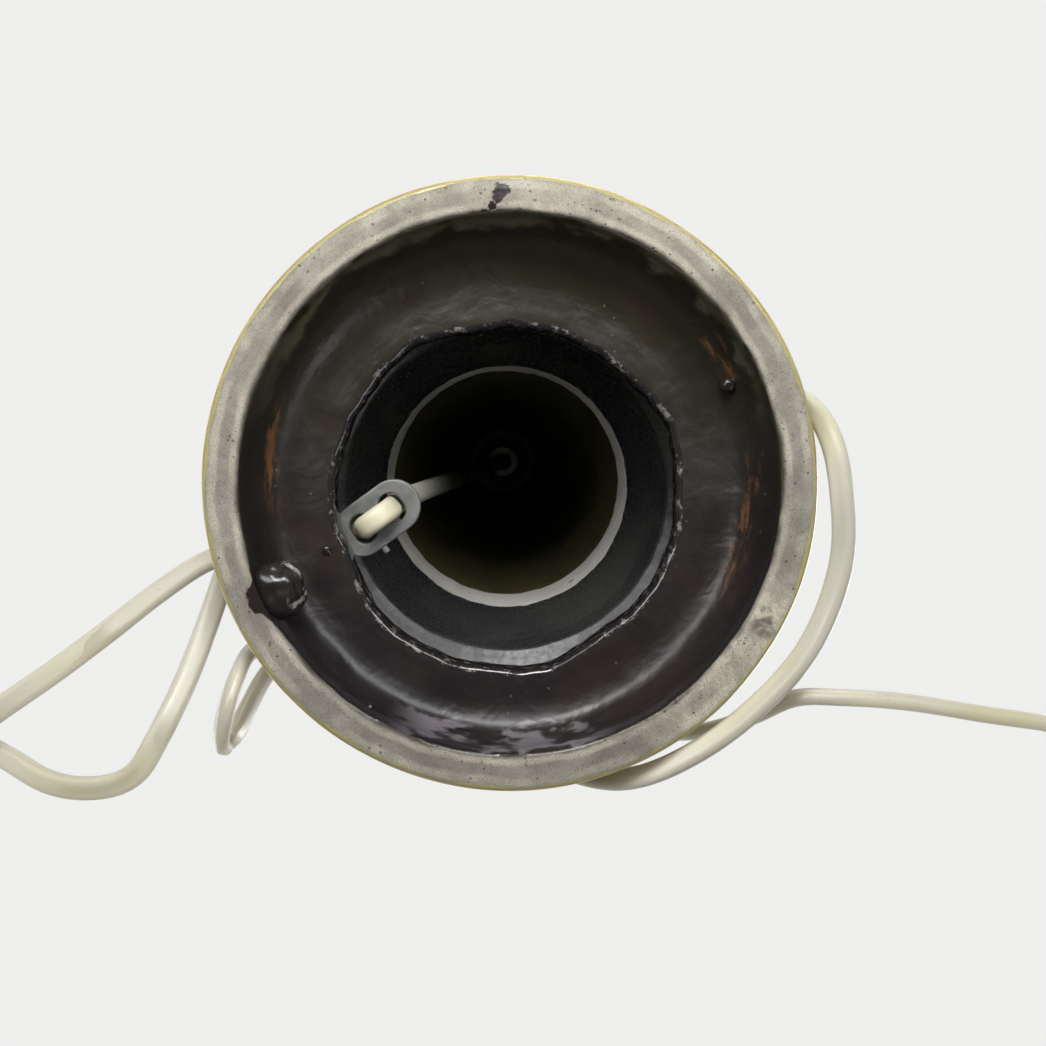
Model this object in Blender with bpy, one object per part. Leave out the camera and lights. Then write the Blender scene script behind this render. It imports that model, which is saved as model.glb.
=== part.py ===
"""A studio stoneware table lamp base with its lampholder, flat flex, strain buckle and plug.

The lamp stands upright: the origin is the centre of the foot ring's underside, +Z goes up the
lamp, and the flex leaves through a hole in the waist at +Y. All sizes are in metres.
"""

import math

import bmesh
import bpy
import numpy as np
from mathutils import Vector

# Shared clearances and counts
GAP = 0.0003
RUNNING_GAP = 0.0005
CUT_OVERRUN = 0.006
WELD = 1e-6
BODY_SIDES = 48
TURNED_SIDES = 28
SHARP_ANGLE = math.radians(35)

# Stoneware body, outside
FOOT_RADIUS = 0.068
FOOT_EDGE_ROUND = 0.0015
FLANGE_SIDE_HEIGHT = 0.0095
LEDGE_HEIGHT = 0.0172
LEDGE_OUTER_RADIUS = 0.0622
FLANGE_SHARES = (0.0, 0.35, 0.68, 1.0)
LEDGE_INNER_RADIUS = 0.0556
WAIST_RADIUS = 0.0530
WAIST_HEIGHT = 0.029
BODY_HEIGHT = 0.262
BELLY_RADIUS = 0.0625
BELLY_HEIGHT = 0.229 * BODY_HEIGHT
SHOULDER_RADIUS = 0.0500
SHOULDER_HEIGHT = 0.382 * BODY_HEIGHT
MID_NECK_RADIUS = 0.0360
MID_NECK_HEIGHT = 0.580 * BODY_HEIGHT
NECK_RADIUS = 0.0288
NECK_HEIGHT = 0.809 * BODY_HEIGHT
TOP_RADIUS = 0.0262
TOP_EDGE_ROUND = 0.0020
OUTSIDE_STEP = BODY_HEIGHT / 28

# Stoneware body, inside
FOOT_INNER_RADIUS = 0.0595
RECESS_WALL_RADIUS = 0.0568
RECESS_CORNER_RADIUS = 0.0530
RECESS_CORNER_SHARE = 0.62
RECESS_DEPTH = 0.0160
LIP_RADIUS = 0.0406
LIP_WANDER = 0.0005
LIP_ROUND = 0.0014
CHAMBER_FLOOR_HEIGHT = 0.0244
CHAMBER_FOOT_RADIUS = 0.0456
CHAMBER_WIDE_RADIUS = 0.0545
CHAMBER_WIDE_HEIGHT = 0.221 * BODY_HEIGHT
BAND_RADIUS = 0.0366
BAND_HEIGHT = 0.096
BAND_LENGTH = 0.017
BAND_TAPER = 0.0011
THROAT_RADIUS = 0.0300
THROAT_HEIGHT = BAND_HEIGHT + 0.187 * BODY_HEIGHT
NECK_BORE_RADIUS = 0.0225
NECK_BORE_HEIGHT = 0.821 * BODY_HEIGHT
CEILING_RADIUS = 0.0135
CEILING_THICKNESS = 0.0110
CEILING_HEIGHT = BODY_HEIGHT - CEILING_THICKNESS
TUBE_HOLE_RADIUS = 0.0055
CHAMBER_STEP = BODY_HEIGHT / 24
NECK_STEP = BODY_HEIGHT / 18

# How far the hand-thrown inside wanders from the outside's axis, as (height, x, y)
DRIFT_START_HEIGHT = 0.004
LIP_DRIFT = (0.0035, 0.0017)
BAND_DRIFT = (0.0046, 0.0011)
DRIFT_END_HEIGHT = 0.897 * BODY_HEIGHT

# Side hole for the flex, at +Y
EXIT_HEIGHT = 0.0305
EXIT_HOLE_RADIUS = 0.0045

# Flat two-core flex, drawn here as a round tube of the same section area
FLEX_WIDTH = 0.0054
FLEX_THICKNESS = 0.0034
FLEX_RADIUS = math.sqrt((FLEX_WIDTH - FLEX_THICKNESS) * FLEX_THICKNESS / math.pi + FLEX_THICKNESS**2 / 4)
FLEX_PAST_TUBE = 0.0020
FLEX_PAST_BUSH = 0.0045
FLEX_STEP = 0.0130
MOST_BEND = math.radians(26)

# Threaded tube and the stack that clamps it
TUBE_RADIUS = 0.0050
TUBE_BORE_RADIUS = 0.0040
TUBE_BELOW_NUT = 0.0030
TUBE_INTO_HOLDER = 0.0090
THREAD_GAP = 0.0003
GASKET_THICKNESS = 0.0012
INNER_GASKET_RADIUS = 0.0120
WASHER_RADIUS = 0.0110
WASHER_THICKNESS = 0.0014
NUT_FLATS = 0.0140
NUT_THICKNESS = 0.0040
TOP_NUT_THICKNESS = 0.0032
BUSH_RADIUS = 0.0062
BUSH_HOLE_RADIUS = 0.0035
BUSH_FLOOR = 0.0022
BUSH_SKIRT = 0.0024
TOP_GASKET_RADIUS = 0.0150
CAP_RADIUS = 0.0205
CAP_RIM = 0.0014
CAP_CROWN_RADIUS = 0.0100
CAP_HEIGHT = 0.0046
COLLAR_RADIUS = 0.0080
COLLAR_HEIGHT = 0.0080
COLLAR_EDGE = 0.0008

# Lampholder shell
HUB_RADIUS = 0.0088
HUB_HEIGHT = 0.0085
HOLDER_RADIUS = 0.0195
HOLDER_WALL = 0.0020
HOLDER_DOME_HEIGHT = 0.0105
HOLDER_SIDE_HEIGHT = 0.0130
DOME_SHARES = (0.0, 0.3, 0.6, 0.8, 1.0)
HOLLOW_SHARES = ((0.0, 0.0), (0.35, 0.12), (0.72, 0.48), (1.0, 1.0))
LOCK_SCREW_RADIUS = 0.0015
LOCK_SCREW_HEIGHT = 0.0042
SKIRT_WALL = 0.0020
SKIRT_OVERLAP = 0.0060
SHOULDER_FLANGE_RADIUS = 0.0240
SHOULDER_FLANGE_THICKNESS = 0.0026
SKIRT_THREAD_RADIUS = 0.0192
SKIRT_THREAD_HEIGHT = 0.0240
SKIRT_BORE_RADIUS = 0.0152
SHADE_RING_RADIUS = 0.0275
SHADE_RING_HEIGHT = 0.0070
SHADE_RING_LIFT = 0.0080
SHADE_RING_GRIPS = 18
SHADE_RING_GRIP_DEPTH = 0.0009

# Lampholder works
BLOCK_PLUG_HEIGHT = 0.0026
BLOCK_FLANGE_THICKNESS = 0.0030
BLOCK_BOSS_RADIUS = 0.0128
BLOCK_BOSS_HEIGHT = 0.0034
TERMINAL_REACH = 0.0098
TERMINAL_HEAD_RADIUS = 0.0025
TERMINAL_HEAD_HEIGHT = 0.0026
TERMINAL_SHANK_RADIUS = 0.0013
TERMINAL_SHANK_LENGTH = 0.0045
SHELL_RADIUS = 0.0138
SHELL_WALL = 0.0009
SHELL_THREAD_DEPTH = 0.0009
SHELL_THREADS = 5
SHELL_THREAD_PITCH = 0.0036
SHELL_FLOOR_HOLE = 0.0085
CONTACT_WIDTH = 0.0045
CONTACT_THICKNESS = 0.0006
CONTACT_ROOT = 0.0065
CONTACT_FLAT_SHARE = 0.20
CONTACT_RISE_SHARE = 0.62
CONTACT_STAND = 0.0030
CONTACT_TIP_LENGTH = 0.0022

# Push-through switch
BAR_RADIUS = 0.0020
BAR_REACH = 0.0265
BAR_HEIGHT_SHARE = 0.20
SWITCH_TRAVEL = 0.0060
SLIDER_LENGTH = 0.0110
SLIDER_WIDTH = 0.0080
SLIDER_HEIGHT = 0.0070
SLIDER_EDGE = 0.0006
BAR_CAP_RADIUS = 0.0036
BAR_CAP_LENGTH = 0.0060
BAR_CAP_SOCKET = 0.0035
BAR_CAP_EDGE = 0.0006

# Insulated cores
CORE_RADIUS = 0.0011
CORE_SPACING = 0.0013
CORE_SHARES = ((0.0, 0.02), (0.10, 0.20), (0.55, 0.38), (1.0, 0.66), (1.0, 1.0))

# Strain buckle on the flex, just inside the side hole
BUCKLE_LENGTH = 0.0226
BUCKLE_WIDTH = 0.0130
BUCKLE_THICKNESS = 0.0024
BUCKLE_HOLE_LENGTH = 0.0056
BUCKLE_HOLE_WIDTH = 0.0074
BUCKLE_HOLE_SPACING = 0.0087
BUCKLE_PLACE = (0.0010, 0.0330)
BUCKLE_BEARING = math.radians(68.5)
BUCKLE_EDGE = 0.0006

# Flex wound round the waist, over the ledge: bearings run down from start to end
WINDING_START = 412.0
WINDING_END = -342.0
WINDING_ROWS = 58
WINDING_RADIUS = 0.0583
WINDING_HEIGHT = 0.0253
WINDING_PITCH = 0.0052
WINDING_CLIMBS = (75.0, -253.0)
WINDING_CLIMB_SPAN = 18.0

# Two-pin plug
SLEEVE_LENGTH = 0.0240
SLEEVE_TIP_RADIUS = 0.0034
SLEEVE_ROOT_RADIUS = 0.0052
PLUG_LENGTH = 0.0355
PLUG_WIDTH = 0.0260
PLUG_THICKNESS = 0.0137
PLUG_TAIL_WIDTH = 0.0120
PLUG_TAIL_THICKNESS = 0.0110
PLUG_EDGE = 0.0022
PIN_RADIUS = 0.0020
PIN_LENGTH = 0.0190
PIN_ROOT = 0.0030
PIN_SPACING = 0.0186
FLOOR_GAP = 0.0002

# Heights up the stack, each from the piece below it
INNER_GASKET_TOP = CEILING_HEIGHT - GAP
WASHER_TOP = INNER_GASKET_TOP - GASKET_THICKNESS - GAP
NUT_TOP = WASHER_TOP - WASHER_THICKNESS - GAP
TUBE_FOOT = NUT_TOP - NUT_THICKNESS - TUBE_BELOW_NUT
TOP_GASKET_SEAT = BODY_HEIGHT + GAP
CAP_SEAT = TOP_GASKET_SEAT + GASKET_THICKNESS + GAP
TOP_NUT_SEAT = CAP_SEAT + CAP_HEIGHT + GAP
COLLAR_SEAT = TOP_NUT_SEAT + TOP_NUT_THICKNESS + GAP
HOLDER_SEAT = COLLAR_SEAT + COLLAR_HEIGHT + GAP
TUBE_TOP = HOLDER_SEAT + TUBE_INTO_HOLDER
HOLDER_SHOULDER = HOLDER_SEAT + HUB_HEIGHT + HOLDER_DOME_HEIGHT
HOLDER_RIM = HOLDER_SHOULDER + HOLDER_SIDE_HEIGHT
BAR_HEIGHT = HOLDER_SHOULDER + HOLDER_SIDE_HEIGHT * BAR_HEIGHT_SHARE
BLOCK_SEAT = HOLDER_RIM + GAP
BOSS_TOP = BLOCK_SEAT + BLOCK_FLANGE_THICKNESS + BLOCK_BOSS_HEIGHT
SKIRT_FOOT = HOLDER_RIM - SKIRT_OVERLAP
FLANGE_TOP = BLOCK_SEAT + BLOCK_FLANGE_THICKNESS + GAP + SKIRT_WALL + SHOULDER_FLANGE_THICKNESS
SKIRT_TOP = FLANGE_TOP + SKIRT_THREAD_HEIGHT

# Flex inside the lamp, in metres: down the tube, through the buckle and out at the side hole
INSIDE_ROUTE = (
    (0.0000, 0.0000, TUBE_TOP + FLEX_PAST_TUBE),
    (0.0000, 0.0000, (TUBE_TOP + TUBE_FOOT) / 2),
    (0.0000, 0.0000, TUBE_FOOT - FLEX_PAST_BUSH),
    (-0.0003, 0.0040, 0.802 * BODY_HEIGHT),
    (-0.0006, 0.0110, 0.611 * BODY_HEIGHT),
    (-0.0010, 0.0175, 0.401 * BODY_HEIGHT),
    (-0.0016, 0.0232, 0.229 * BODY_HEIGHT),
    (-0.0014, 0.0272, 0.0380),
    (-0.0008, 0.0289, 0.0290),
    (-0.0006, 0.0290, 0.0252),
    (-0.0001, 0.0301, 0.0219),
    (0.0010, 0.0330, 0.0205),
    (0.0021, 0.0359, 0.0219),
    (0.0026, 0.0370, 0.0252),
    (0.0026, 0.0371, 0.0276),
    (0.0023, 0.0384, 0.0300),
    (0.0014, 0.0412, 0.0311),
    (0.0004, 0.0455, 0.0307),
    (0.0000, 0.0500, 0.0305),
    (0.0000, 0.0534, 0.0305),
)

# Flex outside the lamp, as bearing in degrees from +X, distance from the axis and height
HOLE_TO_WINDING = (
    (90.0, 0.0537, 0.0305),
    (90.0, 0.0610, 0.0305),
    (90.0, 0.0690, 0.0293),
    (89.4, 0.0770, 0.0260),
    (86.9, 0.0875, 0.0185),
    (84.3, 0.0980, 0.0095),
    (82.3, 0.1100, 0.0038),
    (80.9, 0.1236, 0.0026),
    (79.6, 0.1383, 0.0026),
    (78.5, 0.1515, 0.0026),
    (78.7, 0.1601, 0.0026),
    (80.2, 0.1668, 0.0026),
    (82.9, 0.1688, 0.0028),
    (85.3, 0.1650, 0.0032),
    (86.2, 0.1574, 0.0046),
    (85.2, 0.1497, 0.0066),
    (82.6, 0.1424, 0.0090),
    (76.1, 0.1293, 0.0066),
    (72.0, 0.1226, 0.0034),
    (69.2, 0.1161, 0.0026),
    (67.3, 0.1092, 0.0026),
    (67.1, 0.1040, 0.0026),
    (68.4, 0.0985, 0.0032),
    (73.4, 0.0870, 0.0118),
    (83.0, 0.0746, 0.0202),
    (97.0, 0.0640, 0.0212),
    (114.0, 0.0592, 0.0203),
    (145.0, 0.0588, 0.0203),
    (180.0, 0.0588, 0.0203),
    (215.0, 0.0588, 0.0203),
    (243.0, 0.0590, 0.0203),
    (258.0, 0.0622, 0.0203),
    (266.5, 0.0680, 0.0172),
    (271.5, 0.0716, 0.0118),
    (277.5, 0.0726, 0.0050),
    (286.0, 0.0735, 0.0026),
    (298.5, 0.0756, 0.0026),
    (314.0, 0.0757, 0.0026),
    (330.0, 0.0737, 0.0026),
    (343.0, 0.0727, 0.0036),
    (352.0, 0.0729, 0.0084),
    (358.0, 0.0720, 0.0136),
    (366.0, 0.0680, 0.0182),
    (378.0, 0.0612, 0.0203),
    (394.0, 0.0588, 0.0203),
    (408.0, 0.0588, 0.0203),
    (418.0, 0.0598, 0.0203),
    (426.0, 0.0626, 0.0203),
    (431.0, 0.0674, 0.0198),
    (431.2, 0.0728, 0.0160),
    (429.2, 0.0766, 0.0098),
    (426.2, 0.0815, 0.0060),
    (423.6, 0.0868, 0.0078),
    (422.2, 0.0900, 0.0135),
    (422.0, 0.0886, 0.0200),
    (423.6, 0.0836, 0.0246),
    (425.8, 0.0762, 0.0266),
    (426.6, 0.0692, 0.0269),
    (424.0, 0.0636, 0.0267),
    (418.6, 0.0600, 0.0260),
)
WINDING_TO_PLUG = (
    (-353.0, 0.0594, 0.0357),
    (-361.0, 0.0615, 0.0348),
    (-367.5, 0.0655, 0.0316),
    (-374.0, 0.0697, 0.0262),
    (-379.5, 0.0730, 0.0210),
    (-385.0, 0.0755, 0.0162),
    (-391.0, 0.0777, 0.0118),
    (-398.0, 0.0812, 0.0080),
    (-402.0, 0.0880, 0.0046),
    (-406.0, 0.1000, 0.0028),
    (-409.2, 0.1180, 0.0026),
    (-410.8, 0.1291, 0.0028),
    (-411.5, 0.1354, 0.0030),
    (-414.2, 0.1435, 0.0036),
    (-417.8, 0.1480, 0.0048),
    (-421.9, 0.1480, 0.0062),
    (-423.4, 0.1471, 0.0066),
)

LAMP = "lamp"
FINISHES = {
    "bisque_and_glaze": ((0.34, 0.27, 0.10), 0.35, 0.0),
    "zinc_plated": ((0.55, 0.56, 0.58), 0.35, 1.0),
    "polished_brass": ((0.75, 0.55, 0.22), 0.25, 1.0),
    "black_plastic": ((0.02, 0.02, 0.022), 0.35, 0.0),
    "pale_plastic": ((0.62, 0.61, 0.55), 0.5, 0.0),
    "ivory_vinyl": ((0.78, 0.76, 0.64), 0.42, 0.0),
    "frosted_nylon": ((0.40, 0.41, 0.40), 0.45, 0.0),
    "grey_rubber": ((0.10, 0.10, 0.10), 0.8, 0.0),
    "glazed_porcelain": ((0.80, 0.79, 0.75), 0.3, 0.0),
    "brown_core": ((0.20, 0.09, 0.05), 0.5, 0.0),
    "blue_core": ((0.05, 0.12, 0.35), 0.5, 0.0),
}


def clear_scene():
    """Remove what the scene holds before the lamp is made."""
    for thing in list(bpy.data.objects):
        bpy.data.objects.remove(thing, do_unlink=True)


def finish(name):
    """The material of that name, made on first use."""
    found = bpy.data.materials.get(name)
    if found:
        return found
    colour, roughness, metallic = FINISHES[name]
    material = bpy.data.materials.new(name)
    material.use_nodes = True
    shader = material.node_tree.nodes["Principled BSDF"]
    shader.inputs["Base Color"].default_value = (*colour, 1)
    shader.inputs["Roughness"].default_value = roughness
    shader.inputs["Metallic"].default_value = metallic
    return material


def add_object(name, data, finish_name, place=(0, 0, 0), turn=(0, 0, 0), parent=LAMP):
    """Link an object with its finish, place and parent."""
    thing = bpy.data.objects.new(name, data)
    bpy.context.scene.collection.objects.link(thing)
    data.materials.append(finish(finish_name))
    thing.location = place
    thing.rotation_euler = turn
    thing.parent = bpy.data.objects[parent]
    return thing


def add_empty(name, place=(0, 0, 0), parent=None):
    """An empty that carries the pieces of one moving or fixed group."""
    empty = bpy.data.objects.new(name, None)
    bpy.context.scene.collection.objects.link(empty)
    empty.location = place
    empty.parent = bpy.data.objects[parent] if parent else None
    return empty


def mesh_from(bm, name, smooth=True):
    """Turn a bmesh into a mesh with its faces pointing out."""
    bmesh.ops.recalc_face_normals(bm, faces=bm.faces)
    mesh = bpy.data.meshes.new(name)
    bm.to_mesh(mesh)
    bm.free()
    if smooth:
        mesh.shade_smooth()
        mesh.set_sharp_from_angle(angle=SHARP_ANGLE)
    return mesh


def turned_mesh(name, outline, sides=TURNED_SIDES):
    """Spin an outline of (radius, height) about Z. One that starts on the axis ends there too."""
    bm = bmesh.new()
    verts = [bm.verts.new((radius, 0, height)) for radius, height in outline]
    pairs = list(zip(verts, verts[1:]))
    if outline[0][0] > 0:
        pairs.append((verts[-1], verts[0]))
    edges = [bm.edges.new(pair) for pair in pairs]
    bmesh.ops.spin(
        bm, geom=verts + edges, cent=(0, 0, 0), axis=(0, 0, 1),
        angle=math.tau, steps=sides, use_merge=True,
    )
    bmesh.ops.remove_doubles(bm, verts=bm.verts, dist=WELD)
    return mesh_from(bm, name)


def turned(name, outline, finish_name, sides=TURNED_SIDES, **placing):
    """A turned piece as an object."""
    return add_object(name, turned_mesh(name, outline, sides), finish_name, **placing)


def ring_outline(inner, outer, foot, top, edge=0.0):
    """The section of a plain ring, with its outer corners broken by edge."""
    if edge:
        return [
            (inner, foot), (outer - edge, foot), (outer, foot + edge),
            (outer, top - edge), (outer - edge, top), (inner, top),
        ]
    return [(inner, foot), (outer, foot), (outer, top), (inner, top)]


def box_mesh(name, size, edge=0.0, segments=2):
    """A box about its own centre, with rounded edges."""
    bm = bmesh.new()
    bmesh.ops.create_cube(bm, size=1)
    bmesh.ops.scale(bm, verts=bm.verts, vec=size)
    if edge:
        bmesh.ops.bevel(
            bm, geom=bm.edges[:], offset=edge, segments=segments, profile=0.5, affect="EDGES",
        )
    return mesh_from(bm, name)


def as_cutter(thing):
    """Hide a helper that only cuts another piece."""
    thing.hide_render = True
    thing.display_type = "WIRE"
    return thing


def cut(target, cutter):
    """Cut one object with another."""
    boolean = target.modifiers.new(f"cut_by_{cutter.name}", "BOOLEAN")
    boolean.operation = "DIFFERENCE"
    boolean.solver = "EXACT"
    boolean.object = as_cutter(cutter)


def pin_cutter(name, radius, length, sides=TURNED_SIDES, **placing):
    """A round cutter about its own centre, along Z."""
    outline = [(0, -length / 2), (radius, -length / 2), (radius, length / 2), (0, length / 2)]
    return turned(name, outline, "zinc_plated", sides, **placing)


def smooth_curve(knots, step):
    """Points on a centripetal Catmull-Rom curve through the knots, about step apart on long spans."""
    knots = [Vector(knot) for knot in knots]
    run = [2 * knots[0] - knots[1], *knots, 2 * knots[-1] - knots[-2]]
    points = []
    for before, start, end, after in zip(run, run[1:], run[2:], run[3:]):
        lead, span, trail = (
            math.sqrt((b - a).length) for a, b in ((before, start), (start, end), (end, after))
        )
        leave = span * (
            (start - before) / lead - (end - before) / (lead + span) + (end - start) / span
        )
        arrive = span * (
            (end - start) / span - (after - start) / (span + trail) + (after - end) / trail
        )
        bend = leave.angle(arrive, 0)
        count = max(1, round((end - start).length / step), math.ceil(bend / MOST_BEND))
        for i in range(count):
            t = i / count
            points.append(
                start * (2 * t**3 - 3 * t**2 + 1)
                + leave * (t**3 - 2 * t**2 + t)
                + end * (3 * t**2 - 2 * t**3)
                + arrive * (t**3 - t**2)
            )
    return [*points, knots[-1]]


def length_of(points):
    """The length of a line through points."""
    return sum((b - a).length for a, b in zip(points, points[1:]))


def polar(bearing, radius, height):
    """A point given by its bearing in degrees, its distance from the axis and its height."""
    angle = math.radians(bearing)
    return Vector((radius * math.cos(angle), radius * math.sin(angle), height))


def tube(name, points, radius, finish_name, resolution=2, **placing):
    """A round tube along points, with filled ends."""
    curve = bpy.data.curves.new(name, "CURVE")
    curve.dimensions = "3D"
    curve.bevel_depth = radius
    curve.bevel_resolution = resolution
    curve.use_fill_caps = True
    spline = curve.splines.new("POLY")
    spline.points.add(len(points) - 1)
    for point, place in zip(spline.points, points):
        point.co = (*place, 1)
    return add_object(name, curve, finish_name, **placing)


def arc(centre, radius, start, end, steps):
    """Points of an outline's rounded corner, with angles in degrees."""
    angles = [math.radians(start + (end - start) * i / steps) for i in range(steps + 1)]
    return [(centre[0] + radius * math.cos(a), centre[1] + radius * math.sin(a)) for a in angles]


def outline_through(knots, step):
    """A smooth stretch of an outline through (radius, height) knots."""
    return [(p.x, p.z) for p in smooth_curve([(r, 0, z) for r, z in knots], step)]


def body_outside():
    """The outer outline, from the foot up to the flat top."""
    foot = arc(
        (FOOT_RADIUS - FOOT_EDGE_ROUND, FOOT_EDGE_ROUND), FOOT_EDGE_ROUND, -90, 0, 3
    )
    flange_round = LEDGE_HEIGHT - FLANGE_SIDE_HEIGHT
    flange_reach = FOOT_RADIUS - LEDGE_OUTER_RADIUS
    flange = [
        (
            LEDGE_OUTER_RADIUS + flange_reach * math.cos(share * math.pi / 2),
            FLANGE_SIDE_HEIGHT + flange_round * math.sin(share * math.pi / 2),
        )
        for share in FLANGE_SHARES
    ]
    side = outline_through(
        [
            (LEDGE_INNER_RADIUS, LEDGE_HEIGHT),
            (WAIST_RADIUS, WAIST_HEIGHT),
            (BELLY_RADIUS, BELLY_HEIGHT),
            (SHOULDER_RADIUS, SHOULDER_HEIGHT),
            (MID_NECK_RADIUS, MID_NECK_HEIGHT),
            (NECK_RADIUS, NECK_HEIGHT),
            (TOP_RADIUS, BODY_HEIGHT - TOP_EDGE_ROUND),
        ],
        OUTSIDE_STEP,
    )
    top = arc((TOP_RADIUS - TOP_EDGE_ROUND, BODY_HEIGHT - TOP_EDGE_ROUND), TOP_EDGE_ROUND, 0, 90, 3)
    return [(0, 0), *foot, *flange, *side, *top[1:], (0, BODY_HEIGHT)]


def body_inside():
    """The inner outline, from below the foot up to the ceiling under the threaded tube."""
    recess = [
        (FOOT_INNER_RADIUS, -CUT_OVERRUN),
        (FOOT_INNER_RADIUS, 0),
        (RECESS_WALL_RADIUS, RECESS_DEPTH * RECESS_CORNER_SHARE),
        (RECESS_CORNER_RADIUS, RECESS_DEPTH),
    ]
    lip = [
        (LIP_RADIUS + LIP_ROUND, RECESS_DEPTH),
        (LIP_RADIUS, RECESS_DEPTH + LIP_ROUND),
        (LIP_RADIUS, CHAMBER_FLOOR_HEIGHT - LIP_ROUND),
        (LIP_RADIUS + LIP_ROUND, CHAMBER_FLOOR_HEIGHT),
    ]
    chamber = outline_through(
        [
            (CHAMBER_FOOT_RADIUS, CHAMBER_FLOOR_HEIGHT + LIP_ROUND),
            (CHAMBER_WIDE_RADIUS, CHAMBER_WIDE_HEIGHT),
            (BAND_RADIUS, BAND_HEIGHT),
        ],
        CHAMBER_STEP,
    )
    band = [(BAND_RADIUS - BAND_TAPER, BAND_HEIGHT + BAND_LENGTH)]
    neck = outline_through(
        [
            (BAND_RADIUS, BAND_HEIGHT + BAND_LENGTH + BAND_TAPER),
            (THROAT_RADIUS, THROAT_HEIGHT),
            (NECK_BORE_RADIUS, NECK_BORE_HEIGHT),
            (CEILING_RADIUS, CEILING_HEIGHT),
        ],
        NECK_STEP,
    )
    return [(0, -CUT_OVERRUN), *recess, *lip, *chamber, *band, *neck, (0, CEILING_HEIGHT)]


def drift_at(height):
    """How far the inside's centre lies from the axis at a height."""
    knots = (
        (DRIFT_START_HEIGHT, (0, 0)),
        (RECESS_DEPTH, LIP_DRIFT),
        (BAND_HEIGHT, BAND_DRIFT),
        (DRIFT_END_HEIGHT, (0, 0)),
    )
    heights = [knot[0] for knot in knots]
    return [float(np.interp(height, heights, [knot[1][axis] for knot in knots])) for axis in (0, 1)]


def shape_by_hand(mesh):
    """Move the inside off centre, and make the cut opening slightly uneven."""
    for vertex in mesh.vertices:
        x, y, height = vertex.co
        radius = math.hypot(x, y)
        in_lip = RECESS_DEPTH - WELD <= height <= CHAMBER_FLOOR_HEIGHT + WELD
        if in_lip and 0 < radius < LIP_RADIUS + 2 * LIP_ROUND:
            angle = math.atan2(y, x)
            wander = 1 + LIP_WANDER / LIP_RADIUS * (math.sin(3 * angle) + math.sin(7 * angle + 1))
            vertex.co.x *= wander
            vertex.co.y *= wander
        shift = drift_at(height)
        vertex.co.x += shift[0]
        vertex.co.y += shift[1]


def make_body():
    """The fired body: foot ring, recess, hand-cut opening, chamber, neck and the flex's side hole."""
    body = turned("ceramic_body", body_outside(), "bisque_and_glaze", BODY_SIDES)
    inside = turned("body_hollow", body_inside(), "bisque_and_glaze", BODY_SIDES)
    shape_by_hand(inside.data)
    cut(body, inside)
    tube_hole = pin_cutter(
        "body_tube_hole", TUBE_HOLE_RADIUS, 2 * (BODY_HEIGHT - CEILING_HEIGHT) + CUT_OVERRUN,
        place=(0, 0, BODY_HEIGHT),
    )
    cut(body, tube_hole)
    reach = WAIST_RADIUS - CHAMBER_FOOT_RADIUS + 2 * CUT_OVERRUN
    exit_hole = pin_cutter(
        "body_exit_hole", EXIT_HOLE_RADIUS, reach,
        place=(0, (WAIST_RADIUS + CHAMBER_FOOT_RADIUS) / 2, EXIT_HEIGHT), turn=(math.pi / 2, 0, 0),
    )
    cut(body, exit_hole)


def hex_nut(name, seat, thickness, finish_name):
    """A hexagon nut on the threaded tube."""
    corner = NUT_FLATS / math.sqrt(3)
    blank = turned(
        name, [(0, 0), (corner, 0), (corner, thickness), (0, thickness)], finish_name,
        sides=6, place=(0, 0, seat),
    )
    hole = pin_cutter(
        f"{name}_hole", TUBE_RADIUS + THREAD_GAP, 2 * thickness + CUT_OVERRUN, place=(0, 0, seat)
    )
    cut(blank, hole)


def make_tube_stack():
    """The threaded tube, its end bush, and what it clamps under and over the neck."""
    hole = TUBE_RADIUS + THREAD_GAP
    turned(
        "threaded_tube", ring_outline(TUBE_BORE_RADIUS, TUBE_RADIUS, TUBE_FOOT, TUBE_TOP),
        "zinc_plated",
    )
    floor = TUBE_FOOT - GAP
    turned(
        "tube_end_bush",
        [
            (BUSH_HOLE_RADIUS, floor - BUSH_FLOOR), (BUSH_RADIUS, floor - BUSH_FLOOR),
            (BUSH_RADIUS, floor + BUSH_SKIRT), (hole, floor + BUSH_SKIRT),
            (hole, floor), (BUSH_HOLE_RADIUS, floor),
        ],
        "pale_plastic",
    )
    hex_nut("inner_nut", NUT_TOP - NUT_THICKNESS, NUT_THICKNESS, "zinc_plated")
    turned(
        "inner_washer", ring_outline(hole, WASHER_RADIUS, WASHER_TOP - WASHER_THICKNESS, WASHER_TOP),
        "zinc_plated",
    )
    turned(
        "inner_gasket",
        ring_outline(hole, INNER_GASKET_RADIUS, INNER_GASKET_TOP - GASKET_THICKNESS, INNER_GASKET_TOP),
        "grey_rubber",
    )
    turned(
        "top_gasket",
        ring_outline(hole, TOP_GASKET_RADIUS, TOP_GASKET_SEAT, TOP_GASKET_SEAT + GASKET_THICKNESS),
        "grey_rubber",
    )
    slope_radius = (CAP_RADIUS + CAP_CROWN_RADIUS) / 2
    turned(
        "brass_cap",
        [
            (hole, CAP_SEAT), (CAP_RADIUS, CAP_SEAT), (CAP_RADIUS, CAP_SEAT + CAP_RIM),
            (slope_radius, CAP_SEAT + (CAP_RIM + 2 * CAP_HEIGHT) / 3),
            (CAP_CROWN_RADIUS, CAP_SEAT + CAP_HEIGHT), (hole, CAP_SEAT + CAP_HEIGHT),
        ],
        "polished_brass",
    )
    hex_nut("top_nut", TOP_NUT_SEAT, TOP_NUT_THICKNESS, "polished_brass")
    turned(
        "spacer_collar",
        ring_outline(hole, COLLAR_RADIUS, COLLAR_SEAT, COLLAR_SEAT + COLLAR_HEIGHT, COLLAR_EDGE),
        "polished_brass",
    )


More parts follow.
